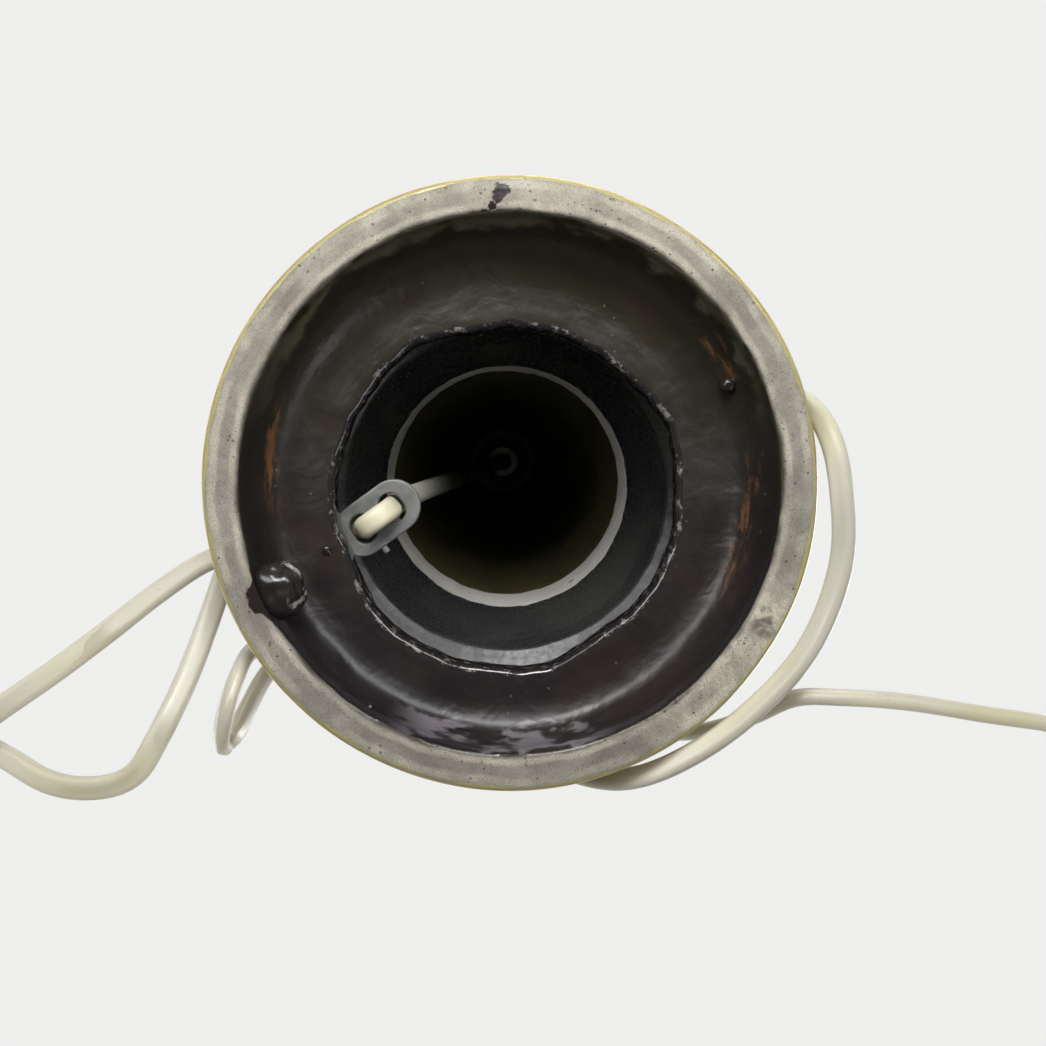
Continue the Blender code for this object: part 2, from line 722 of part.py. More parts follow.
def make_holder_cap():
    """The lower half of the lampholder, screwed on the tube, with its lock screw."""
    hole = TUBE_RADIUS + THREAD_GAP
    hub_top = HOLDER_SEAT + HUB_HEIGHT
    inner = HOLDER_RADIUS - HOLDER_WALL
    dome = HOLDER_RADIUS - HUB_RADIUS
    outside = [
        (HUB_RADIUS + dome * (1 - math.cos(a)), hub_top + HOLDER_DOME_HEIGHT * math.sin(a))
        for a in (math.pi / 2 * share for share in DOME_SHARES)
    ]
    inside = [
        (hole + (inner - hole) * share, hub_top + HOLDER_WALL + HOLDER_DOME_HEIGHT * rise)
        for share, rise in HOLLOW_SHARES
    ]
    cap = turned(
        "holder_cap",
        [(hole, HOLDER_SEAT), (HUB_RADIUS, HOLDER_SEAT), *outside,
         (HOLDER_RADIUS, HOLDER_RIM), (inner, HOLDER_RIM), *reversed(inside)],
        "black_plastic",
    )
    bar_hole = pin_cutter(
        "holder_bar_hole", BAR_RADIUS + RUNNING_GAP, 2 * (HOLDER_RADIUS + CUT_OVERRUN),
        place=(0, 0, BAR_HEIGHT), turn=(0, math.pi / 2, 0),
    )
    cut(cap, bar_hole)
    screw_height = HOLDER_SEAT + LOCK_SCREW_HEIGHT
    lock_hole = pin_cutter(
        "holder_lock_hole", LOCK_SCREW_RADIUS + GAP, HUB_RADIUS + CUT_OVERRUN,
        place=(0, -(HUB_RADIUS + CUT_OVERRUN) / 2, screw_height), turn=(math.pi / 2, 0, 0),
    )
    cut(cap, lock_hole)
    screw_length = HUB_RADIUS - TUBE_RADIUS - 2 * GAP
    turned(
        "cap_lock_screw",
        [(0, 0), (LOCK_SCREW_RADIUS, 0), (LOCK_SCREW_RADIUS, screw_length), (0, screw_length)],
        "zinc_plated", place=(0, -TUBE_RADIUS - GAP, screw_height), turn=(math.pi / 2, 0, 0),
    )


def make_holder_skirt():
    """The upper shell of the lampholder, with a shoulder and a thread for the shade."""
    socket = HOLDER_RADIUS + GAP
    outer = socket + SKIRT_WALL
    roof = BLOCK_SEAT + BLOCK_FLANGE_THICKNESS + GAP
    flange_foot = FLANGE_TOP - SHOULDER_FLANGE_THICKNESS
    turned(
        "holder_skirt",
        [
            (socket, SKIRT_FOOT), (outer, SKIRT_FOOT), (outer, flange_foot - SKIRT_WALL),
            (SHOULDER_FLANGE_RADIUS, flange_foot), (SHOULDER_FLANGE_RADIUS, FLANGE_TOP),
            (SKIRT_THREAD_RADIUS, FLANGE_TOP), (SKIRT_THREAD_RADIUS, SKIRT_TOP - SKIRT_WALL / 2),
            (SKIRT_THREAD_RADIUS - SKIRT_WALL / 2, SKIRT_TOP), (SKIRT_BORE_RADIUS, SKIRT_TOP),
            (SKIRT_BORE_RADIUS, roof), (socket, roof),
        ],
        "black_plastic",
    )


def make_shade_ring():
    """The ring that holds a shade down, on the skirt's thread, with grips round its edge."""
    add_empty("shade_ring_axis", (0, 0, FLANGE_TOP + SHADE_RING_LIFT), LAMP)
    bore = SKIRT_THREAD_RADIUS + RUNNING_GAP
    bm = bmesh.new()
    sides = 2 * SHADE_RING_GRIPS
    outline = ring_outline(bore, SHADE_RING_RADIUS, 0, SHADE_RING_HEIGHT, HOLDER_WALL / 2)
    verts = [bm.verts.new((radius, 0, height)) for radius, height in outline]
    edges = [bm.edges.new(pair) for pair in zip(verts, verts[1:] + verts[:1])]
    bmesh.ops.spin(
        bm, geom=verts + edges, cent=(0, 0, 0), axis=(0, 0, 1),
        angle=math.tau, steps=sides, use_merge=True,
    )
    bmesh.ops.remove_doubles(bm, verts=bm.verts, dist=WELD)
    for vertex in bm.verts:
        radius = math.hypot(vertex.co.x, vertex.co.y)
        place = round(math.atan2(vertex.co.y, vertex.co.x) / (math.tau / sides))
        if radius > (bore + SHADE_RING_RADIUS) / 2 and place % 2:
            share = (radius - SHADE_RING_GRIP_DEPTH) / radius
            vertex.co.x *= share
            vertex.co.y *= share
    add_object("shade_ring", mesh_from(bm, "shade_ring"), "black_plastic", parent="shade_ring_axis")


def make_contact_block():
    """The porcelain block between cap and skirt, with its two terminal screws."""
    flange = HOLDER_RADIUS - HOLDER_WALL / 4
    plug = HOLDER_RADIUS - HOLDER_WALL - GAP
    block = turned(
        "contact_block",
        [
            (0, BLOCK_SEAT - BLOCK_PLUG_HEIGHT), (plug, BLOCK_SEAT - BLOCK_PLUG_HEIGHT),
            (plug, BLOCK_SEAT), (flange, BLOCK_SEAT),
            (flange, BLOCK_SEAT + BLOCK_FLANGE_THICKNESS),
            (BLOCK_BOSS_RADIUS, BLOCK_SEAT + BLOCK_FLANGE_THICKNESS),
            (BLOCK_BOSS_RADIUS, BOSS_TOP), (0, BOSS_TOP),
        ],
        "glazed_porcelain",
    )
    underside = BLOCK_SEAT - BLOCK_PLUG_HEIGHT
    for side, label in ((1, "line"), (-1, "neutral")):
        hole = pin_cutter(
            f"block_hole_{label}", TERMINAL_SHANK_RADIUS + GAP, 2 * (TERMINAL_SHANK_LENGTH + GAP),
            place=(0, side * TERMINAL_REACH, underside),
        )
        cut(block, hole)
        head_top = underside - GAP
        turned(
            f"terminal_screw_{label}",
            [
                (0, head_top - TERMINAL_HEAD_HEIGHT),
                (TERMINAL_HEAD_RADIUS, head_top - TERMINAL_HEAD_HEIGHT),
                (TERMINAL_HEAD_RADIUS, head_top), (TERMINAL_SHANK_RADIUS, head_top),
                (TERMINAL_SHANK_RADIUS, head_top + TERMINAL_SHANK_LENGTH),
                (0, head_top + TERMINAL_SHANK_LENGTH),
            ],
            "polished_brass", sides=16, place=(0, side * TERMINAL_REACH, 0),
        )


def make_screw_shell():
    """The threaded metal shell that a bulb screws into, standing on the block's boss."""
    foot = BOSS_TOP + GAP
    outside, inside = [], []
    for i in range(SHELL_THREADS * 4 + 1):
        wave = SHELL_THREAD_DEPTH / 2 * math.cos(i * math.pi / 2)
        height = foot + SHELL_WALL + i * SHELL_THREAD_PITCH / 4
        outside.append((SHELL_RADIUS + wave, height))
        inside.append((SHELL_RADIUS - SHELL_WALL + wave, height))
    turned(
        "screw_shell",
        [(SHELL_FLOOR_HOLE, foot), (SHELL_RADIUS, foot), *outside, *reversed(inside),
         (SHELL_FLOOR_HOLE, foot + SHELL_WALL)],
        "polished_brass", sides=24,
    )


def make_centre_contact():
    """The sprung brass tongue under the bulb's tip, hinged where it is held down."""
    root_height = BOSS_TOP + GAP + CONTACT_THICKNESS / 2
    add_empty("centre_contact_axis", (-CONTACT_ROOT, 0, root_height), LAMP)
    line = [
        (0, 0), (CONTACT_ROOT * CONTACT_FLAT_SHARE, 0),
        (CONTACT_ROOT * CONTACT_RISE_SHARE, CONTACT_STAND),
        (CONTACT_ROOT + CONTACT_TIP_LENGTH, CONTACT_STAND),
    ]
    bm = bmesh.new()
    half = CONTACT_THICKNESS / 2
    below = [bm.verts.new((x, -CONTACT_WIDTH / 2, z - half)) for x, z in line]
    above = [bm.verts.new((x, -CONTACT_WIDTH / 2, z + half)) for x, z in reversed(line)]
    side = bm.faces.new(below + above)
    swept = bmesh.ops.extrude_face_region(bm, geom=[side])["geom"]
    moved = [item for item in swept if isinstance(item, bmesh.types.BMVert)]
    bmesh.ops.translate(bm, verts=moved, vec=(0, CONTACT_WIDTH, 0))
    add_object(
        "centre_contact", mesh_from(bm, "centre_contact"), "polished_brass",
        parent="centre_contact_axis",
    )


def make_switch():
    """The push-through bar, the slider that it carries and its two end caps."""
    add_empty("switch_axis", (-SWITCH_TRAVEL / 2, 0, BAR_HEIGHT), LAMP)
    along_x = (0, math.pi / 2, 0)
    bar_ends = [(0, -BAR_REACH), (BAR_RADIUS, -BAR_REACH), (BAR_RADIUS, BAR_REACH), (0, BAR_REACH)]
    turned(
        "switch_bar", bar_ends, "polished_brass", sides=20, parent="switch_axis", turn=along_x,
    )
    slider_size = (SLIDER_LENGTH, SLIDER_WIDTH, SLIDER_HEIGHT)
    slider = add_object(
        "switch_slider", box_mesh("switch_slider", slider_size, SLIDER_EDGE), "pale_plastic",
        parent="switch_axis",
    )
    bore = pin_cutter(
        "slider_bore", BAR_RADIUS + GAP, SLIDER_LENGTH + CUT_OVERRUN, sides=20,
        parent="switch_axis", turn=along_x,
    )
    cut(slider, bore)
    mouth = BAR_REACH - BAR_CAP_SOCKET
    end = mouth + BAR_CAP_LENGTH
    bore_radius = BAR_RADIUS + GAP
    for side, label in ((-1, "left"), (1, "right")):
        turned(
            f"switch_cap_{label}",
            [
                (0, BAR_REACH + GAP), (bore_radius, BAR_REACH + GAP), (bore_radius, mouth),
                (BAR_CAP_RADIUS, mouth), (BAR_CAP_RADIUS, end - BAR_CAP_EDGE),
                (BAR_CAP_RADIUS - BAR_CAP_EDGE, end), (0, end),
            ],
            "black_plastic", sides=20, parent="switch_axis", turn=(0, side * math.pi / 2, 0),
        )


def make_inside_flex():
    """The flex inside the lamp, and its two cores at the terminals."""
    tube("cord_inside", smooth_curve(INSIDE_ROUTE, FLEX_STEP), FLEX_RADIUS, "ivory_vinyl")
    start = Vector(INSIDE_ROUTE[0])
    screw_foot = BLOCK_SEAT - BLOCK_PLUG_HEIGHT - 2 * GAP - TERMINAL_HEAD_HEIGHT
    climb = screw_foot - start.z
    reach = TERMINAL_REACH - CORE_SPACING
    for side, finish_name, label in ((1, "brown_core", "line"), (-1, "blue_core", "neutral")):
        knots = [
            (0, side * (CORE_SPACING + reach * out), start.z + climb * up) for out, up in CORE_SHARES
        ]
        tube(
            f"core_{label}", smooth_curve(knots, FLEX_STEP / 5), CORE_RADIUS, finish_name,
        )


def stadium(bm, length, width, steps):
    """One face shaped like a flat oval, about the origin."""
    radius = width / 2
    straight = length / 2 - radius
    points = []
    for end in (1, -1):
        for i in range(steps + 1):
            angle = -math.pi / 2 + math.pi * i / steps
            points.append((end * (straight + radius * math.cos(angle)), end * radius * math.sin(angle)))
    return bm.faces.new([bm.verts.new((x, y, 0)) for x, y in points])


def plate_mesh(name, length, width, thickness, edge=0.0, steps=8):
    """A flat oval plate about its own centre."""
    bm = bmesh.new()
    face = stadium(bm, length, width, steps)
    swept = bmesh.ops.extrude_face_region(bm, geom=[face])["geom"]
    moved = [item for item in swept if isinstance(item, bmesh.types.BMVert)]
    bmesh.ops.translate(bm, verts=moved, vec=(0, 0, thickness))
    bmesh.ops.translate(bm, verts=bm.verts, vec=(0, 0, -thickness / 2))
    if edge:
        rims = [e for e in bm.edges if abs(e.verts[0].co.z - e.verts[1].co.z) < WELD]
        bmesh.ops.bevel(bm, geom=rims, offset=edge, segments=1, profile=0.5, affect="EDGES")
    return mesh_from(bm, name)


def make_buckle():
    """The two-hole strain buckle, lying on the edge of the cut opening."""
    middle = CHAMBER_FLOOR_HEIGHT + GAP + BUCKLE_THICKNESS / 2
    add_empty("buckle_place", (*BUCKLE_PLACE, middle), LAMP).rotation_euler.z = BUCKLE_BEARING
    buckle = add_object(
        "cord_buckle",
        plate_mesh("cord_buckle", BUCKLE_LENGTH, BUCKLE_WIDTH, BUCKLE_THICKNESS, BUCKLE_EDGE),
        "frosted_nylon", parent="buckle_place",
    )
    for end, label in ((-1, "inner"), (1, "outer")):
        hole = add_object(
            f"buckle_hole_{label}",
            plate_mesh(
                f"buckle_hole_{label}", BUCKLE_HOLE_WIDTH, BUCKLE_HOLE_LENGTH,
                BUCKLE_THICKNESS + CUT_OVERRUN, steps=5,
            ),
            "frosted_nylon", place=(end * BUCKLE_HOLE_SPACING / 2, 0, 0),
            turn=(0, 0, math.pi / 2), parent="buckle_place",
        )
        cut(buckle, hole)


def least_gap(points, radius, apart):
    """The least gap of a tube to itself, between points at least apart from each other along it."""
    line = np.array([tuple(p) for p in points])
    along = np.concatenate([[0], np.cumsum(np.linalg.norm(np.diff(line, axis=0), axis=1))])
    fine = np.linspace(0, along[-1], 4 * len(line))
    dense = np.stack([np.interp(fine, along, line[:, i]) for i in range(3)], axis=1)
    distance = np.linalg.norm(dense[:, None] - dense[None], axis=2)
    distance[np.abs(fine[:, None] - fine[None]) < apart] = np.inf
    return distance.min() - 2 * radius


def winding_rows():
    """Rows of the flex wound round the waist, a pitch higher after each climb."""
    rows = []
    for i in range(WINDING_ROWS + 1):
        bearing = WINDING_START + (WINDING_END - WINDING_START) * i / WINDING_ROWS
        height = WINDING_HEIGHT
        for middle in WINDING_CLIMBS:
            share = min(max((middle - bearing) / WINDING_CLIMB_SPAN + 0.5, 0), 1)
            height += WINDING_PITCH * (3 * share**2 - 2 * share**3)
        rows.append((bearing, WINDING_RADIUS, height))
    return rows


def make_plug(entry, heading):
    """The sleeve, body and two pins, lying on the floor from where the flex ends."""
    reach = GAP + SLEEVE_LENGTH + GAP + PLUG_LENGTH
    drop = entry.z - PLUG_THICKNESS / 2 - FLOOR_GAP
    add_empty("plug_place", tuple(entry), LAMP)
    place = bpy.data.objects["plug_place"]
    place.rotation_euler = (0, math.asin(drop / reach), math.atan2(heading.y, heading.x))
    along_x = (0, math.pi / 2, 0)
    turned(
        "plug_sleeve",
        [
            (0, GAP), (SLEEVE_TIP_RADIUS, GAP), (SLEEVE_ROOT_RADIUS, GAP + SLEEVE_LENGTH),
            (0, GAP + SLEEVE_LENGTH),
        ],
        "ivory_vinyl", sides=20, parent="plug_place", turn=along_x,
    )
    tail = 2 * GAP + SLEEVE_LENGTH
    bm = bmesh.new()
    bmesh.ops.create_cube(bm, size=1)
    bmesh.ops.scale(bm, verts=bm.verts, vec=(PLUG_LENGTH, PLUG_WIDTH, PLUG_THICKNESS))
    for vertex in bm.verts:
        if vertex.co.x < 0:
            vertex.co.y *= PLUG_TAIL_WIDTH / PLUG_WIDTH
            vertex.co.z *= PLUG_TAIL_THICKNESS / PLUG_THICKNESS
    bmesh.ops.bevel(bm, geom=bm.edges[:], offset=PLUG_EDGE, segments=3, profile=0.5, affect="EDGES")
    body = add_object(
        "plug_body", mesh_from(bm, "plug_body"), "ivory_vinyl",
        place=(tail + PLUG_LENGTH / 2, 0, 0), parent="plug_place",
    )
    face = tail + PLUG_LENGTH
    for side, label in ((-1, "left"), (1, "right")):
        place = (face, side * PIN_SPACING / 2, 0)
        hole = pin_cutter(
            f"plug_hole_{label}", PIN_RADIUS + GAP, 2 * (PIN_ROOT + GAP), sides=16,
            place=place, turn=along_x, parent="plug_place",
        )
        cut(body, hole)
        tip = PIN_LENGTH - PIN_RADIUS
        turned(
            f"plug_pin_{label}",
            [
                (0, -PIN_ROOT), (PIN_RADIUS, -PIN_ROOT), (PIN_RADIUS, tip),
                *arc((0, tip), PIN_RADIUS, 30, 60, 1), (0, PIN_LENGTH),
            ],
            "zinc_plated", sides=16, place=place, turn=along_x, parent="plug_place",
        )


def make_free_flex():
    """The flex outside the lamp: over the floor, round the foot, round the waist and to its plug."""
    rows = (*HOLE_TO_WINDING, *winding_rows(), *WINDING_TO_PLUG)
    free = smooth_curve([polar(*row) for row in rows], FLEX_STEP)
    tube("cord_free", free, FLEX_RADIUS, "ivory_vinyl")
    gap = least_gap(free, FLEX_RADIUS, 6 * FLEX_RADIUS)
    print(f"free flex {length_of(free):.4f} m in {len(free)} points, least gap {gap * 1000:.2f} mm")
    heading = free[-1] - free[-2]
    heading.z = 0
    heading.normalize()
    make_plug(free[-1], heading)


def main():
    clear_scene()
    add_empty(LAMP)
    make_body()
    make_tube_stack()
    make_holder_cap()
    make_holder_skirt()
    make_shade_ring()
    make_contact_block()
    make_screw_shell()
    make_centre_contact()
    make_switch()
    make_buckle()
    make_inside_flex()
    make_free_flex()


main()
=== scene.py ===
"""The detailed look of a stoneware table lamp base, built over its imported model.

The lamp stands upright on z = 0 and all sizes are in metres. The camera stands under the floor
and looks up into the foot, as the photograph does, so the floor shows only from above.
"""

import logging
import math
from collections.abc import Callable, Sequence
from dataclasses import dataclass, field
from enum import Enum

import bmesh
import bpy
from mathutils import Matrix, Vector, noise


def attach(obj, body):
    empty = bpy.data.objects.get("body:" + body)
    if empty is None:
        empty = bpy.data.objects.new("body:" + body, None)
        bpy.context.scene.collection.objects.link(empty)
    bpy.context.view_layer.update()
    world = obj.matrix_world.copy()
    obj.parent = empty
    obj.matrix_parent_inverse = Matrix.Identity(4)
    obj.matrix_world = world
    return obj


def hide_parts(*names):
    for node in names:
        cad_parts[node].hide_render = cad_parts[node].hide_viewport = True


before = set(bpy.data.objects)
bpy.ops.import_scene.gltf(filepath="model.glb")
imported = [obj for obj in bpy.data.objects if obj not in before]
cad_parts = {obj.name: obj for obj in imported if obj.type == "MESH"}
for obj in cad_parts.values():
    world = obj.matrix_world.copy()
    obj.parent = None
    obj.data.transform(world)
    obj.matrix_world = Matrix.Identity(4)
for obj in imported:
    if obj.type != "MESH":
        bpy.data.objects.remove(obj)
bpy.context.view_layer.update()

LOG = logging.getLogger("lamp")
Outline = list[tuple[float, float]]
Colour = tuple[float, float, float]
Socket = bpy.types.NodeSocket
WELD = 1e-6
GAP = 0.0003
SHARP = 38.0
RIM_ANGLE = 50.0
FLOOR_GAP = 0.0002
TUBE_PASS = 0.0053
BAR_HEIGHT = 0.3021
LEDGE_HEIGHT = 0.0172


class Body(Enum):
    """The moving groups that pieces ride on."""

    LAMP = "lamp"
    SHADE_RING = "shade_ring"
    SWITCH = "switch"
    CENTRE_CONTACT = "centre_contact"


class Slot(Enum):
    """The finishes that the record names."""

    GLAZE = "glaze"
    ZINC = "zinc"
    BRASS = "brass"
    BLACK = "black_plastic"
    PALE = "pale_plastic"
    FLEX = "ivory_flex"
    NYLON = "frosted_nylon"
    RUBBER = "rubber"
    PORCELAIN = "porcelain"
    PIN = "pin_metal"


# ---------------------------------------------------------------- materials


class Tree:
    """A node tree, with short calls for the nodes that materials and the world share."""

    def __init__(self, tree: bpy.types.NodeTree) -> None:
        """Take hold of a tree.

        Args:
            tree: The tree.
        """
        self.nodes, self.links = tree.nodes, tree.links

    def feed(self, socket: Socket, value: Socket | float | Sequence[float]) -> None:
        """Link or set one input.

        Args:
            socket: The input.
            value: Another node's output, or a constant.
        """
        if isinstance(value, bpy.types.NodeSocket):
            self.links.new(value, socket)
        elif isinstance(value, (int, float)):
            socket.default_value = value
        elif len(socket.default_value) == 4:
            socket.default_value = (*value, 1.0)
        else:
            socket.default_value = value

    def step(self, kind: str, a: Socket | float, b: Socket | float = 0.0) -> Socket:
        """One arithmetic step.

        Args:
            kind: The operation.
            a: First value.
            b: Second value.

        Returns:
            The result.
        """
        node = self.nodes.new("ShaderNodeMath")
        node.operation = kind
        self.feed(node.inputs[0], a)
        self.feed(node.inputs[1], b)
        return node.outputs[0]

    def times(self, a: Socket, b: Socket | float) -> Socket:
        """The product of two values."""
        return self.step("MULTIPLY", a, b)

    def most(self, a: Socket | float, b: Socket) -> Socket:
        """The greater of two values."""
        return self.step("MAXIMUM", a, b)

    def plus(self, a: Socket, b: Socket) -> Socket:
        """The sum of two values."""
        return self.step("ADD", a, b)

    def ease(
        self, value: Socket, start: float, end: float, low: float = 0.0, high: float = 1.0
    ) -> Socket:
        """A smooth rise between two values.

        Args:
            value: What rises.
            start: Where the rise starts.
            end: Where it ends.
            low: Result at the start.
            high: Result at the end.

        Returns:
            The eased value.
        """
        ranged = self.nodes.new("ShaderNodeMapRange")
        ranged.interpolation_type = "SMOOTHSTEP"
        self.feed(ranged.inputs["Value"], value)
        flip = start > end
        ranged.inputs["From Min"].default_value = min(start, end)
        ranged.inputs["From Max"].default_value = max(start, end)
        ranged.inputs["To Min"].default_value = high if flip else low
        ranged.inputs["To Max"].default_value = low if flip else high
        return ranged.outputs[0]

    def mix(self, share: Socket | float, a: Socket | Colour, b: Socket | Colour) -> Socket:
        """Blend two colours.

        Args:
            share: Share of the second.
            a: First colour.
            b: Second colour.

        Returns:
            The blend.
        """
        blend = self.nodes.new("ShaderNodeMix")
        blend.data_type = "RGBA"
        self.feed(blend.inputs[0], share)
        self.feed(blend.inputs[6], a)
        self.feed(blend.inputs[7], b)
        return blend.outputs[2]


class Graph(Tree):
    """One material's node tree, over the piece's own coordinates."""

    def __init__(self, name: str) -> None:
        """Start a material with its shader.

        Args:
            name: The material's name.
        """
        self.material = bpy.data.materials.new(name)
        self.material.use_nodes = True
        super().__init__(self.material.node_tree)
        self.shader = self.nodes["Principled BSDF"]
        self.where = self.nodes.new("ShaderNodeTexCoord").outputs["Object"]

    def stretch(self, scale: Sequence[float], shift: Sequence[float] = (0, 0, 0)) -> Socket:
        """Scale and shift the piece's own coordinates.

        Args:
            scale: Factor along each axis.
            shift: Offset after scaling.

        Returns:
            The changed coordinates.
        """
        mapping = self.nodes.new("ShaderNodeMapping")
        self.feed(mapping.inputs["Vector"], self.where)
        mapping.inputs["Scale"].default_value = scale
        mapping.inputs["Location"].default_value = shift
        return mapping.outputs[0]

    def radius(self) -> Socket:
        """Distance from the lamp's axis."""
        return self.near((0, 0, 0), (1, 1, 0))

    def near(self, point: Sequence[float], squeeze: Sequence[float] = (1, 1, 1)) -> Socket:
        """Distance from a point, with each axis squeezed.

        Args:
            point: The point in metres.
            squeeze: Factor along each axis.

        Returns:
            The distance in metres.
        """
        shift = [-p * s for p, s in zip(point, squeeze)]
        length = self.nodes.new("ShaderNodeVectorMath")
        length.operation = "LENGTH"
        self.feed(length.inputs[0], self.stretch(squeeze, shift))
        return length.outputs["Value"]

    def part(self, axis: str) -> Socket:
        """One of the piece's own coordinates.

        Args:
            axis: X, Y or Z.

        Returns:
            The coordinate in metres.
        """
        split = self.nodes.new("ShaderNodeSeparateXYZ")
        self.feed(split.inputs[0], self.where)
        return split.outputs[axis]

    def height(self) -> Socket:
        """Height above the floor."""
        return self.part("Z")

    def along(self, direction: Sequence[float]) -> Socket:
        """Distance along a direction.

        Args:
            direction: A unit vector.

        Returns:
            The distance in metres.
        """
        product = self.nodes.new("ShaderNodeVectorMath")
        product.operation = "DOT_PRODUCT"
        self.feed(product.inputs[0], self.where)
        product.inputs[1].default_value = direction
        return product.outputs["Value"]

    def bearing(self) -> Socket:
        """Bearing about the axis in radians, from minus pi to pi."""
        return self.step("ARCTAN2", self.part("Y"), self.part("X"))

    def polar(self, turns: float, across: float, up: float) -> Socket:
        """Coordinates that run round the axis, out from it and up.

        Args:
            turns: Features per radian.
            across: Features per metre of radius.
            up: Features per metre of height.

        Returns:
            The coordinates.
        """
        joined = self.nodes.new("ShaderNodeCombineXYZ")
        self.feed(joined.inputs[0], self.times(self.bearing(), turns))
        self.feed(joined.inputs[1], self.times(self.radius(), across))
        self.feed(joined.inputs[2], self.times(self.height(), up))
        return joined.outputs[0]

    def window(self, value: Socket, middle: float, half: float, soft: float) -> Socket:
        """1 near a value and 0 away from it.

        Args:
            value: What is compared.
            middle: Middle of the window.
            half: Half its width.
            soft: Width of its soft edge.

        Returns:
            The window.
        """
        away = self.step("ABSOLUTE", self.step("SUBTRACT", value, middle))
        return self.ease(away, half, half - soft)

    def noise(
        self, scale: float, detail: float = 3.0, rough: float = 0.55, where: Socket | None = None,
        warp: float = 0.0,
    ) -> Socket:
        """A cloudy pattern from 0 to 1.

        Args:
            scale: Features per metre.
            detail: Layers of finer features.
            rough: Strength of the finer layers.
            where: Coordinates to use in place of the piece's own.
            warp: How far the pattern is pulled about.

        Returns:
            The pattern.
        """
        texture = self.nodes.new("ShaderNodeTexNoise")
        self.feed(texture.inputs["Vector"], where or self.where)
        texture.inputs["Scale"].default_value = scale
        texture.inputs["Detail"].default_value = detail
        texture.inputs["Roughness"].default_value = rough
        texture.inputs["Distortion"].default_value = warp
        return texture.outputs[0]

    def dots(self, scale: float, size: float, where: Socket | None = None) -> Socket:
        """Scattered round dots.

        Args:
            scale: Dots per metre.
            size: Radius of a dot as a share of their spacing.
            where: Coordinates to use in place of the piece's own.

        Returns:
            1 in a dot and 0 outside.
        """
        cells = self.nodes.new("ShaderNodeTexVoronoi")
        self.feed(cells.inputs["Vector"], where or self.where)
        cells.inputs["Scale"].default_value = scale
        return self.ease(cells.outputs["Distance"], size, size * 0.5)

    def bump(self, height: Socket, depth: float, under: Socket | None = None) -> Socket:
        """Raise the surface by a pattern.

        Args:
            height: The pattern, from 0 to 1.
            depth: Height of the relief in metres.
            under: A bump that this one lies on.

        Returns:
            The normal.
        """
        relief = self.nodes.new("ShaderNodeBump")
        relief.inputs["Strength"].default_value = 1.0
        relief.inputs["Distance"].default_value = depth
        self.feed(relief.inputs["Height"], height)
        if under is not None:
            self.feed(relief.inputs["Normal"], under)
        return relief.outputs[0]

    def finish(self, **values: Socket | float | Sequence[float]) -> bpy.types.Material:
        """Set the shader's inputs and give the material.

        Args:
            values: Inputs by name, with underscores for spaces.

        Returns:
            The finished material.
        """
        for name, value in values.items():
            self.feed(self.shader.inputs[name.replace("_", " ")], value)
        return self.material


@dataclass(frozen=True)
class Finish:
    """A finish that is made once and shared."""

    name: str

    def material(self) -> bpy.types.Material:
        """The material, made on first use."""
        return bpy.data.materials.get(self.name) or self.make()

    def make(self) -> bpy.types.Material:
        """Build the material's nodes."""
        raise NotImplementedError


